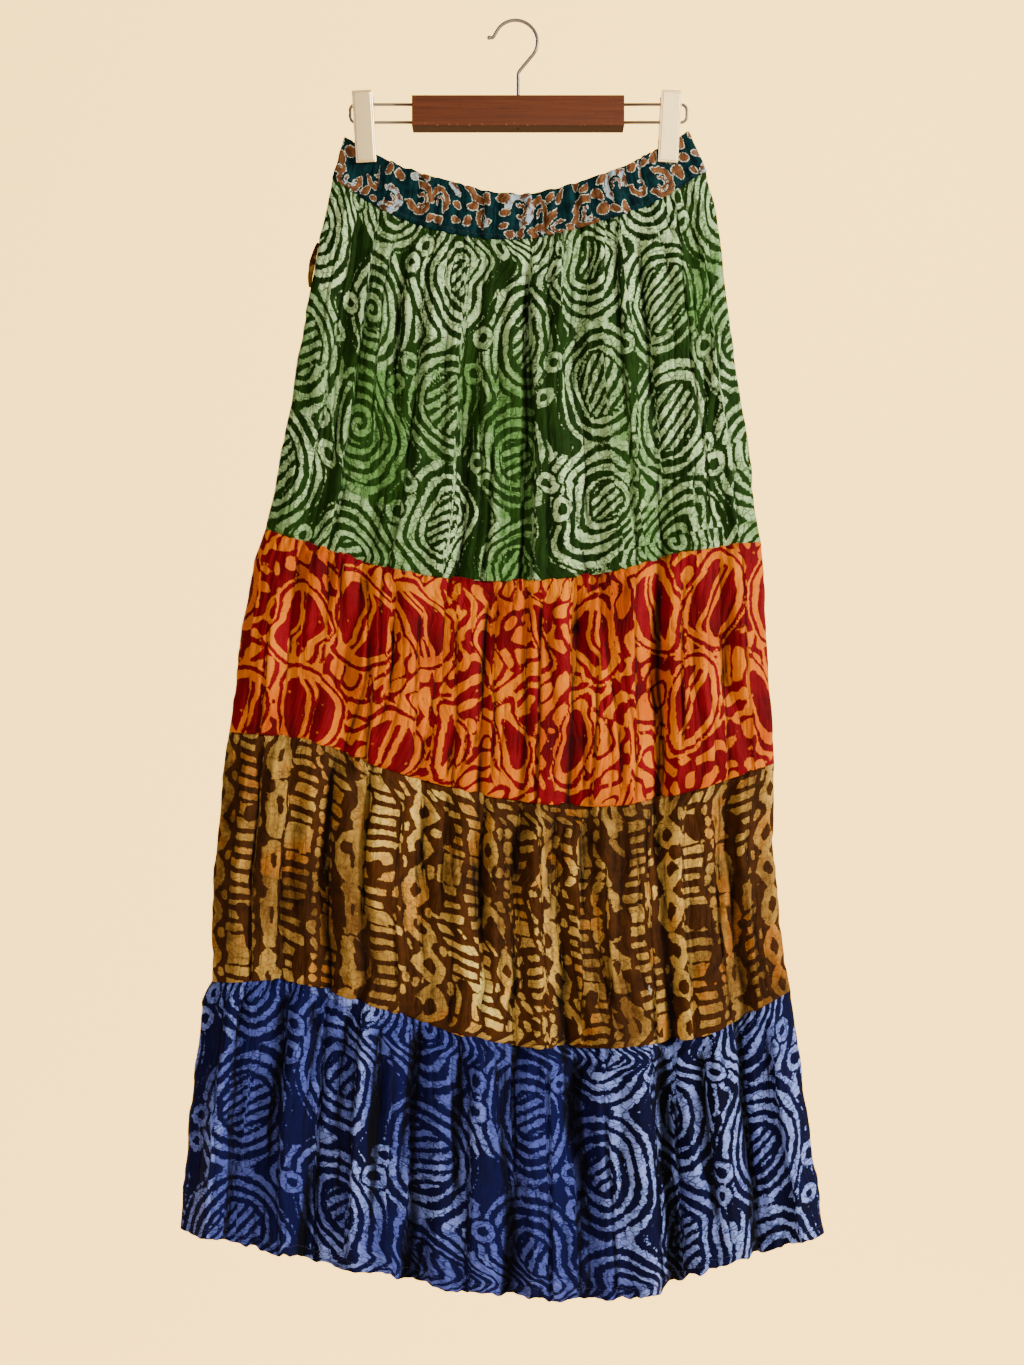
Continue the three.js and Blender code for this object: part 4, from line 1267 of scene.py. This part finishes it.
def print_fields(piece, back, u, v):
    """The pattern of one piece at its points: print distance, tone, and stain if it has one."""
    seed = 100 * (piece + 1) + (50 if back else 0)
    width, length = PIECES[piece]["width"], PIECES[piece]["length"]
    if piece == 0:
        wax, tone = scroll_field(u, v, scroll_rows(width, seed), seed)
    elif piece == 1:
        plan = WHORLS["tier_1"]
        wax, tone = whorl_field(u, v, plan, *whorl_columns(width, length, plan, seed), seed)
        tone = tone + 0.6 - 0.8 * smooth(v, 30, 150) + 0.4 * smooth(-u if back else u, 0, 120)
    elif piece == 2:
        wax, tone = oval_field(u, v, oval_rows(width, seed), seed)
    elif piece == 3:
        wax, tone = column_field(u, v, 560 if back else 295, seed)
        tone = tone + 2.2 * bell(u, -60, 14) * bell(v, 166, 26) - 0.4 * smooth(np.abs(u), 180, 280)
    else:
        plan = WHORLS["tier_4"]
        wax, tone = whorl_field(u, v, plan, *whorl_columns(width, length, plan, seed), seed)
        strips = smooth(uneven(u / 46, v / 400, seed + 20), 0.05, 0.2)
        tone = tone - 1.5 + 1.1 * strips + 2.6 * smooth(-u if back else u, 60, 150)
        tone = tone + 1.7 * bell(u, -176, 20) - 0.7 * bell(u, 15, 50)
    fields = {"wax": wax, "tone": tone}
    if piece == 3:
        spot = np.hypot((u - 148) / 2.0, (v - 158) / 4.6)
        fields["stain"] = np.full_like(u, FAR_OUTSIDE) if back else (1 - spot) * 2
    return fields


def steps(count, crowding):
    """Steps from 0 to 1 that stand closer together at both ends."""
    t = np.linspace(0, 1, count + 1)
    return t + crowding * ((0.5 - 0.5 * np.cos(np.pi * t)) - t)


def sew_panel(piece, back):
    """One half of one ring, with its print and its finish."""
    row = PIECES[piece]
    side = "back" if back else "front"
    columns, rows = (BACK_GRID if back else FRONT_GRID)[piece]
    s, v = np.meshgrid(steps(columns, 0.3), steps(rows, 0.35))
    x, y, z, across, along = panel_points(piece, back, s, v)
    nx, ny = level_normals(x, y, back)
    if piece > 0:
        z[0] += TUCK_UP
        x[0] -= nx[0] * TUCK_IN
        y[0] -= ny[0] * TUCK_IN
    half = row["thick"] / 2
    outer = np.stack([x + nx * half, y + ny * half, z], axis=-1)
    inner = np.stack([x - nx * half, y - ny * half, z], axis=-1)
    panel = shell(f"{row['node']}_{side}_cloth", outer, inner, back)
    u, w = both_walls(across), both_walls(along)
    store_map(panel.data, u, w)
    fields = print_fields(piece, back, u, w)
    # Painted shade: the folds are darkened in the colour, the deepest folds most.
    fields["hollow"] = both_walls(painted_fold_shade(y, back, DEEPEST_FOLD_SHADE[piece]))
    # Painted highlight: the ridges are made lighter through the tone.
    fields["tone"] = fields["tone"] + 0.6 * both_walls(painted_ridge_highlight(y, back))
    for name, values in fields.items():
        store_field(panel.data, name, values)
    panel.data.materials.append(FINISHES[piece])
    stands_for(panel, f"{row['node']}_{side}")
    return panel


cloths = {}
for piece in range(5):
    for back in (False, True):
        cloths[piece, back] = sew_panel(piece, back)
    print(PIECES[piece]["node"], "sewn,", len(cloths[piece, False].data.polygons), "faces")

# %% [markdown]
# ## Thread
#
# The casing of the waistband is closed with a row of stitches just above its lower seam, and
# the hem is turned up and stitched 8 mm from its edge. One stitch is modelled, a short fat
# thread that sinks at both ends, and a node tree sets it along a line at an even pitch, as a
# sewing machine does.

# %% One stitch, and a tree that repeats it
STITCH = {"length": 2.7, "pitch": 3.6, "radius": 0.24, "sides": 6}
STITCH_PROFILE = [(-0.5, 0.25, -0.3), (-0.4, 0.8, -0.08), (-0.15, 1.0, 0.0), (0.15, 1.0, 0.0),
                  (0.4, 0.8, -0.08), (0.5, 0.25, -0.3)]     # share of length, fatness, sink


def one_stitch():
    points = []
    sides = STITCH["sides"]
    for share, fat, sink in STITCH_PROFILE:
        for k in range(sides):
            angle = 2 * math.pi * k / sides
            points.append((share * STITCH["length"] * MM,
                           fat * STITCH["radius"] * math.cos(angle) * MM,
                           (fat * STITCH["radius"] * math.sin(angle) + sink) * MM))
    faces = [face[::-1] for face in tube_faces(len(STITCH_PROFILE), sides)]
    stitch = add_mesh("one_stitch", points, faces)
    return stitch


def socket(tree, name, kind, value=None, way="INPUT"):
    """Adds an input or output to a node tree, and says what it is known by."""
    made = tree.interface.new_socket(name, in_out=way, socket_type=f"NodeSocket{kind}")
    if value is not None:
        made.default_value = value
    return made.identifier


def stitch_tree(thread):
    """Sets stitches along a line of points, each a little different in size."""
    tree = bpy.data.node_groups.new("stitches_along_a_line", "GeometryNodeTree")
    socket(tree, "Line", "Geometry")
    names = {"Pitch": socket(tree, "Pitch", "Float", STITCH["pitch"] * MM),
             "Stitch": socket(tree, "Stitch", "Object"),
             "Seed": socket(tree, "Seed", "Int", 4)}
    socket(tree, "Stitches", "Geometry", way="OUTPUT")
    given = tree.nodes.new("NodeGroupInput").outputs
    curve = add_node(tree, "GeometryNodeMeshToCurve", {}, {"Mesh": given["Line"]})
    even = add_node(tree, "GeometryNodeResampleCurve", {"mode": "LENGTH"},
                    {"Curve": curve.outputs[0], "Length": given["Pitch"]})
    along = add_node(tree, "GeometryNodeInputTangent", {}, {})
    turn = add_node(tree, "FunctionNodeAlignRotationToVector", {"axis": "X"},
                    {"Vector": along.outputs[0]})
    size = add_node(tree, "FunctionNodeRandomValue", {"data_type": "FLOAT"},
                    {2: 0.88, 3: 1.1, "Seed": given["Seed"]})
    stitch = add_node(tree, "GeometryNodeObjectInfo", {}, {"Object": given["Stitch"]})
    placed = add_node(tree, "GeometryNodeInstanceOnPoints", {},
                      {"Points": even.outputs[0], "Instance": stitch.outputs["Geometry"],
                       "Rotation": turn.outputs[0], "Scale": size.outputs[1]})
    real = add_node(tree, "GeometryNodeRealizeInstances", {}, {"Geometry": placed.outputs[0]})
    dyed = add_node(tree, "GeometryNodeSetMaterial", {},
                    {"Geometry": real.outputs[0], "Material": thread})
    tree.links.new(dyed.outputs[0], tree.nodes.new("NodeGroupOutput").inputs[0])
    return tree, names


def thread_finish(name, colour):
    finish = Finish(name, roughness=0.55, fixed={"Sheen Weight": 0.1})
    place = finish.object_place()
    twist = finish.noise(finish.stretched(place, 0.0004, 0.0002, 1 / 0.0004), detail=1)
    darker = tuple(0.6 * part for part in colour[:3]) + (1.0,)
    finish.colour(finish.mix(twist, darker, colour))
    finish.bump(twist, distance=0.0001)
    return finish.material


print("stitch tree ready")

# %% [markdown]
# The line that the stitches follow is worked out from the cloth's own points, moved out by
# half the cloth and half a thread. Each half of the skirt has its own row.

# %% Stitch lines on the band and the hem


def stitch_line(name, piece, back, from_edge, finish, stitch):
    """A row of stitches at a distance from the lower edge of a piece, on its outside."""
    s, v = np.meshgrid(np.linspace(0.004, 0.996, 900),
                       [1 - from_edge / PIECES[piece]["length"]] * 2)
    x, y, z, _, _ = panel_points(piece, back, s, v)
    nx, ny = level_normals(x, y, back)
    proud = PIECES[piece]["thick"] / 2 + 0.5 * STITCH["radius"]
    line = np.stack([x + nx * proud, y + ny * proud, z], axis=-1)[0] * MM
    mesh = bpy.data.meshes.new(name + "_line")
    mesh.from_pydata(line.tolist(), [(k, k + 1) for k in range(len(line) - 1)], [])
    guide = add_object(name + "_line", mesh)
    tree, names = stitch_tree(finish)
    modifier = guide.modifiers.new("stitches", "NODES")
    modifier.node_group = tree
    modifier[names["Stitch"]] = stitch
    modifier[names["Seed"]] = 10 * piece + back
    bpy.context.view_layer.update()
    solid = bpy.data.meshes.new_from_object(
        guide.evaluated_get(bpy.context.evaluated_depsgraph_get()))
    guide.modifiers.remove(modifier)
    bpy.data.objects.remove(guide)
    row = add_object(name, solid)
    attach(row, "root")
    return row


stitch = one_stitch()
TEAL_THREAD = thread_finish("teal_thread", linear(6, 36, 44))
NAVY_THREAD = thread_finish("navy_thread", linear(20, 28, 92))
threads = {}
for back in (False, True):
    side = "back" if back else "front"
    threads[0, back] = stitch_line(f"band_stitches_{side}", 0, back, 3.5, TEAL_THREAD, stitch)
    threads[4, back] = stitch_line(f"hem_stitches_{side}", 4, back, 8, NAVY_THREAD, stitch)
bpy.data.objects.remove(stitch)
print("stitch rows:", len(threads))

# %% [markdown]
# ## The pocket's edge
#
# A pocket in the brown cloth of the third tier is set into the left side seam of the first.
# Only a folded edge of it peeks out, a soft loop 38 mm long that stands a few millimetres
# proud.

# %% A folded scrap in the side seam
POCKET = {"top": -190, "height": 38, "proud": 4.7, "root": 1.0, "width": 11.5, "thick": 0.5}


def pocket_scrap():
    """A bulging strip, from its place t down the seam and a around the fold."""
    t, a = np.meshgrid(np.linspace(0, 1, 61), np.linspace(0, 1, 25), indexing="ij")
    z = POCKET["top"] - t * POCKET["height"]
    swell = np.sin(np.pi * (0.06 + 0.9 * t)) ** 0.6
    ripple = 0.5 * uneven(t * 5, a * 1.5, 71) + 0.3 * uneven(t * 13, a * 2, 72)
    reach = POCKET["proud"] * swell * np.sin(np.pi * a) ** 0.55 * (1 + 0.16 * ripple)
    x = outline(LEFT_SIDE, z) - POCKET["root"] - reach
    y = -1.1 + 2.3 * a + ripple * np.sin(np.pi * a)
    dx, dy = np.gradient(x, axis=1), np.gradient(y, axis=1)
    size = np.hypot(dx, dy) / (POCKET["thick"] / 2)
    outer = np.stack([x - dy / size, y + dx / size, z], axis=-1)
    inner = np.stack([x + dy / size, y - dx / size, z], axis=-1)
    scrap = shell("pocket_scrap", outer, inner, True)
    a, t = both_walls(a), both_walls(t)
    u, v = a * POCKET["width"], t * POCKET["height"]
    store_map(scrap.data, u, v)
    wax, tone = column_field(u, v, 120, 9)
    plain = {"wax": wax, "tone": tone - 0.6, "stain": wax * 0 + FAR_OUTSIDE, "hollow": wax * 0}
    for name, values in plain.items():
        store_field(scrap.data, name, values)
    scrap.data.materials.append(FINISHES[3])
    stands_for(scrap, "pocket_edge")
    return scrap


scrap = pocket_scrap()
print("pocket edge:", len(scrap.data.polygons), "faces")

# %% [markdown]
# ## Bent wire
#
# The hook and the two rails are bent from steel wire, and each clip's spring is wound from a
# thinner one. A tube is laid along a path of points. Its ring of points is carried from step
# to step without turning, so that the wire doesn't twist.

# %% Tubes along a path


def through(controls, steps):
    """A smooth curve through control points, with even speed between unevenly spaced ones."""
    controls = np.asarray(controls, float)
    padded = np.vstack([2 * controls[0] - controls[1], controls, 2 * controls[-1] - controls[-2]])
    knots = np.concatenate([[0], np.cumsum(np.sqrt(
        np.linalg.norm(np.diff(padded, axis=0), axis=1)))])
    rows = []
    for i in range(1, len(padded) - 2):
        p0, p1, p2, p3 = padded[i - 1:i + 3]
        t0, t1, t2, t3 = knots[i - 1:i + 3]
        for t in np.linspace(t1, t2, steps, endpoint=False):
            a1 = p0 + (p1 - p0) * (t - t0) / (t1 - t0)
            a2 = p1 + (p2 - p1) * (t - t1) / (t2 - t1)
            a3 = p2 + (p3 - p2) * (t - t2) / (t3 - t2)
            b1 = a1 + (a2 - a1) * (t - t0) / (t2 - t0)
            b2 = a2 + (a3 - a2) * (t - t1) / (t3 - t1)
            rows.append(b1 + (b2 - b1) * (t - t1) / (t2 - t1))
    return np.array(rows + [controls[-1]])


def tube(name, path, radii, sides, finish):
    """A round wire along a path, closed at both ends."""
    path = np.asarray(path, float)
    radii = np.broadcast_to(radii, len(path))
    directions = np.gradient(path, axis=0)
    directions /= np.linalg.norm(directions, axis=1)[:, None]
    across = np.cross(directions[0], (0.3, 1.0, 0.2))
    points = []
    for place, direction, radius in zip(path, directions, radii):
        across = across - direction * np.dot(across, direction)
        across = across / np.linalg.norm(across)
        other = np.cross(direction, across)
        for k in range(sides):
            angle = 2 * math.pi * k / sides
            points.append(place + radius * (math.cos(angle) * across + math.sin(angle) * other))
    wire = add_mesh(name, np.array(points) * MM, tube_faces(len(path), sides))
    wire.data.materials.append(finish)
    return wire


print("wire builder ready")

# %% [markdown]
# Drawn wire and pressed plate are both satin, but not alike. The wire is greyer, with faint
# marks along it. The plate is paler and warmer, with a cloudy polish.

# %% Steel and nickel


def steel_finish():
    """Drawn wire with a dull bright finish, and faint marks that change its gloss."""
    finish = Finish("satin_steel", roughness=0.3, metallic=0.55)
    place = finish.object_place()
    marks = finish.noise(finish.stretched(place, 0.0006, 0.0006, 1 / 0.006), detail=3)
    finish.colour(finish.mix(marks, linear(112, 104, 98), linear(160, 151, 143)))
    finish.roughness(0.26 + marks * 0.16)
    finish.bump(marks, distance=0.00006, strength=0.5)
    return finish.material


def nickel_finish():
    """Satin nickel: pressed plate with a fine cloudy polish and a warm tint."""
    finish = Finish("satin_nickel", roughness=0.3, metallic=0.85)
    place = finish.object_place()
    cloud = finish.noise(finish.stretched(place, 0.010, 0.010, 1 / 0.016), detail=3)
    fine = finish.noise(finish.stretched(place, 0.0005, 0.0005, 1 / 0.004), detail=2)
    finish.colour(finish.mix(cloud, linear(246, 208, 146), linear(255, 228, 170)))
    finish.roughness(0.22 + cloud * 0.12 + fine * 0.05)
    finish.bump(fine, distance=0.00004, strength=0.4)
    return finish.material


STEEL = steel_finish()
NICKEL = nickel_finish()
print("metals:", STEEL.name, "and", NICKEL.name)

# %% [markdown]
# The hook rises from the bar, sweeps to the right and goes round most of a circle. Each rail
# is a loop that comes out of an end of the bar, and a clip's spring is wound round between
# its two legs.

# %% Hook, rails and springs
BAR = {"length": 181.5, "height": 26.4, "middle_x": 0.9, "middle_z": -79.1}
RAIL = {"radius": 1.3, "upper": -71, "lower": -86.4, "left_end": -143.6, "right_end": 146,
        "in_bar": 12, "bend": 5}
HOOK = {"radius": 1.5, "curl": 18.7, "centre_x": -1.3, "centre_z": -17.2, "stem_x": 0.9,
        "in_bar": 12, "tip_x": -24, "tip_z": -13.5, "ball": 1.9,
        "sweep": [(0, 0), (0, 14), (0.4, 22), (3.4, 26.4)],     # to the right, above the bar
        "turn": (-0.82, 2.72)}
SPRING = {"coil": 3.85, "wire": 0.72, "length": 12, "turns": 8}


def hook_wire():
    """A straight stem, a sweep to the right, most of a circle, and a rounded tip."""
    bar_top = BAR["middle_z"] + BAR["height"] / 2
    x = HOOK["stem_x"]
    controls = [(x, 0, bar_top - HOOK["in_bar"])]
    controls += [(x + aside, 0, bar_top + up) for aside, up in HOOK["sweep"]]
    for angle in np.linspace(*HOOK["turn"], 12):
        controls.append((HOOK["centre_x"] + HOOK["curl"] * math.cos(angle), 0,
                         HOOK["centre_z"] + HOOK["curl"] * math.sin(angle)))
    controls += [(HOOK["tip_x"] + 3.2, 0, HOOK["tip_z"] + 0.3), (HOOK["tip_x"], 0, HOOK["tip_z"])]
    path = through(controls, 10)
    end = (path[-1] - path[-2]) / np.linalg.norm(path[-1] - path[-2])
    ball = HOOK["ball"]
    angles = np.linspace(math.pi - math.asin(0.8), 0.04, 14)
    tip = path[-1] + np.outer(ball * np.cos(angles), end)
    path = path[np.linalg.norm(path - path[-1], axis=1) > 0.8 * ball]
    radii = np.concatenate([np.full(len(path), HOOK["radius"]), ball * np.sin(angles)])
    return tube("hook_wire", np.vstack([path, tip]), radii, 20, STEEL)


def rail_wire(side):
    """Two legs out of the bar's end and the round bend that joins them."""
    sign = -1 if side == "left" else 1
    start = BAR["middle_x"] + sign * (BAR["length"] / 2 - RAIL["in_bar"])
    end = RAIL[f"{side}_end"]
    turn = end - sign * RAIL["bend"]
    upper, lower, bend = RAIL["upper"], RAIL["lower"], RAIL["bend"]
    path = [(start, 0, upper), (turn, 0, upper)]
    for middle, angles in ((upper - bend, (90, 0)), (lower + bend, (0, -90))):
        for angle in np.radians(np.linspace(*angles, 10)):
            path.append((turn + sign * bend * math.cos(angle), 0, middle + bend * math.sin(angle)))
    path += [(turn, 0, lower), (start, 0, lower)]
    kept = [path[0]] + [b for a, b in zip(path, path[1:]) if math.dist(a, b) > 0.05]
    return tube(f"{side}_rail_wire", kept, RAIL["radius"], 18, STEEL)


def spring_wire(side, x):
    """A coil along X, between the legs of the rail."""
    angle = np.linspace(0, 2 * math.pi * SPRING["turns"], 22 * SPRING["turns"])
    middle = (RAIL["upper"] + RAIL["lower"]) / 2
    reach = SPRING["length"] / 2 - SPRING["wire"]
    path = np.stack([np.linspace(x - reach, x + reach, len(angle)),
                     SPRING["coil"] * np.cos(angle), middle + SPRING["coil"] * np.sin(angle)], 1)
    return tube(f"{side}_spring_wire", path, SPRING["wire"], 8, STEEL)


CLIP_X = {"left": -132.6, "right": 132.4}
stands_for(hook_wire(), "hanger_hook")
for side, x in CLIP_X.items():
    stands_for(rail_wire(side), f"rail_{side}")
    stands_for(spring_wire(side, x), f"clip_{side}_spring")
print("wires bent")

# %% [markdown]
# ## Clips
#
# Each jaw is pressed from plate: a flat front with a raised panel, and two long edges that
# are folded in for stiffness, above the foot that pinches the cloth. The edges of pressed
# plate are round, and catch a thin line of light.

# %% Pressed jaws
CLIP = {"width": 17.5, "height": 60.5, "top": -61.5, "plate": 1.4, "flange": 3.2,
        "lean": 5.0, "toe": 3.0, "jaw_at_bottom": 3.6, "edge": 0.6,
        "border": 1.5, "raise": 0.5, "flange_share": 0.55, "flange_up": 0.14}
EDGE_FACE = 4e-6     # square metres: the faces of the rounded edges are smaller than this


def plate_box(size, middle, edge):
    """A box with rounded edges, as a list of points and faces."""
    bm = bmesh.new()
    bmesh.ops.create_cube(bm, size=1)
    for vert in bm.verts:
        vert.co = [vert.co[k] * size[k] + middle[k] for k in range(3)]
    bmesh.ops.bevel(bm, geom=bm.edges[:], offset=edge, segments=4, profile=0.5,
                    affect="EDGES")
    bm.verts.index_update()
    points = [tuple(vert.co) for vert in bm.verts]
    faces = [tuple(vert.index for vert in face.verts) for face in bm.faces]
    bm.free()
    return points, faces


def clip_plate(side, front):
    """One jaw, built upright, then leaned and set in its place."""
    width, height, plate = CLIP["width"], CLIP["height"], CLIP["plate"]
    flange, border = CLIP["flange"], CLIP["border"]
    raised = (width - 2 * border, plate, height - 2 * border)
    parts = [plate_box((width, plate, height), (0, 0, 0), CLIP["edge"]),
             plate_box(raised, (0, -CLIP["raise"], 0), CLIP["raise"])]
    for edge in (-1, 1):
        middle = (edge * (width - plate) / 2, (flange + plate) / 2 - 0.6,
                  height * CLIP["flange_up"])
        folded = (plate, flange + 0.8, height * CLIP["flange_share"])
        parts.append(plate_box(folded, middle, CLIP["edge"]))
    points, faces = [], []
    for some_points, some_faces in parts:
        start = len(points)
        points += some_points
        faces += [tuple(start + k for k in face) for face in some_faces]
    toe = CLIP["toe"] if side == "right" else -CLIP["toe"]
    place = Matrix.Translation((CLIP_X[side], 0, CLIP["top"]))
    place = place @ Matrix.Rotation(math.radians(toe), 4, "Y")
    if not front:
        place = place @ Matrix.Rotation(math.pi, 4, "Z")
    place = place @ Matrix.Translation((0, -CLIP["jaw_at_bottom"], -height))
    place = place @ Matrix.Rotation(math.radians(CLIP["lean"]), 4, "X")
    place = place @ Matrix.Translation((0, -plate / 2, height / 2))
    where = "front" if front else "back"
    jaw = add_mesh(f"clip_{side}_{where}_plate", points, faces)
    jaw.data.transform(place)
    jaw.data.transform(Matrix.Scale(MM, 4))
    rounded = np.array([face.area for face in jaw.data.polygons]) < EDGE_FACE
    jaw.data.polygons.foreach_set("use_smooth", rounded)
    jaw.data.materials.append(NICKEL)
    stands_for(jaw, f"clip_{side}_{where}_jaw")


for side in CLIP_X:
    for front in (True, False):
        clip_plate(side, front)
print("clips pressed")

# %% [markdown]
# ## The wooden bar
#
# The bar keeps its plain solid, which has the right shape, and only its finish is made here:
# reddish brown stain over a fine straight grain, under a satin lacquer. The lacquer has worn
# through in tiny pale dents along the lower edges. The underside is bare wood without lacquer,
# with painted shade that makes it darker, and a screw hole at the middle painted as a dark
# spot of shade.

# %% Stained wood
SCREW = {"x": 0.0008, "y": -0.001}


def wood_finish():
    """The finish of the bar, which changes with the height in the wood."""
    finish = Finish("stained_wood", roughness=0.4, fixed={"Coat Roughness": 0.28,
                                                          "Specular IOR Level": 0.03})
    place = finish.object_place()
    grain = finish.noise(finish.stretched(place, 0.055, 0.0016, 1 / 0.0016), detail=5,
                         roughness=0.62, distortion=0.4)
    cloud = finish.noise(finish.stretched(place, 0.05, 0.014, 1 / 0.014), detail=3)
    pores = finish.noise(finish.stretched(place, 0.009, 0.0005, 1 / 0.0005), detail=2)
    stain = finish.mix(grain.between(0.15, 0.85), linear(79, 39, 21), linear(123, 64, 35))
    stain = finish.mix(cloud.between(0.35, 0.7) * 0.55, stain, linear(102, 53, 30))
    stain = finish.mix(pores.between(0.60, 0.72) * 0.5, stain, linear(40, 14, 5))
    height = finish.part(place, 2)
    low_edge = (BAR["middle_z"] - BAR["height"] / 2) * MM
    near_edge = 1 - abs(height - (low_edge + 0.0012)).between(0.0003, 0.0016)
    dents = finish.noise(finish.stretched(place, 0.0035, 0.0035, 1 / 0.0035), detail=1)
    below = 1 - (height - low_edge).between(0.0001, 0.0004)
    worn = near_edge * dents.between(0.66, 0.70) * (1 - below)
    stain = finish.mix(worn * 0.8, stain, linear(196, 140, 96))
    across = finish.part(place, 0) - SCREW["x"]
    deep = finish.part(place, 1) - SCREW["y"]
    hole = across * across + deep * deep
    # Painted shade: the screw hole is a near-black spot, with no hole in the shape.
    painted_hole_shade = (1 - hole.between(0.000001, 0.0000022)) * below
    # Painted shade: the underside is coloured darker than the stained sides, on top of bare wood.
    stain = finish.mix(below * 0.9, stain, linear(58, 47, 44))
    stain = finish.mix(painted_hole_shade, stain, linear(6, 3, 1))
    finish.colour(stain)
    lacquer = 0.35 * (1 - below)
    finish.tree.links.new(lacquer.socket, finish.shader.inputs["Coat Weight"])
    finish.roughness(0.34 + grain * 0.12 + worn * 0.2 + below * 0.5)
    finish.bump(grain * 0.7 + pores * 0.3, distance=0.00012, strength=0.35)
    return finish.material


for carried in bpy.data.objects["hanger_bar"].material_slots:
    carried.material = wood_finish()
print("bar stained")

# %% [markdown]
# ## What each piece rests on
#
# For each piece of cloth, the pieces above that it rests on and the row of stitches sewn on it
# are listed.

for (piece, back), cloth in cloths.items():
    side = "back" if back else "front"
    above = [f"{PIECES[piece - 1]['node']}_{side}_cloth"] if piece else [
        f"clip_left_{side}_plate", f"clip_right_{side}_plate"]
    carried = [threads[piece, back].name] if (piece, back) in threads else []
print("sheets:", len(cloths) + 1)
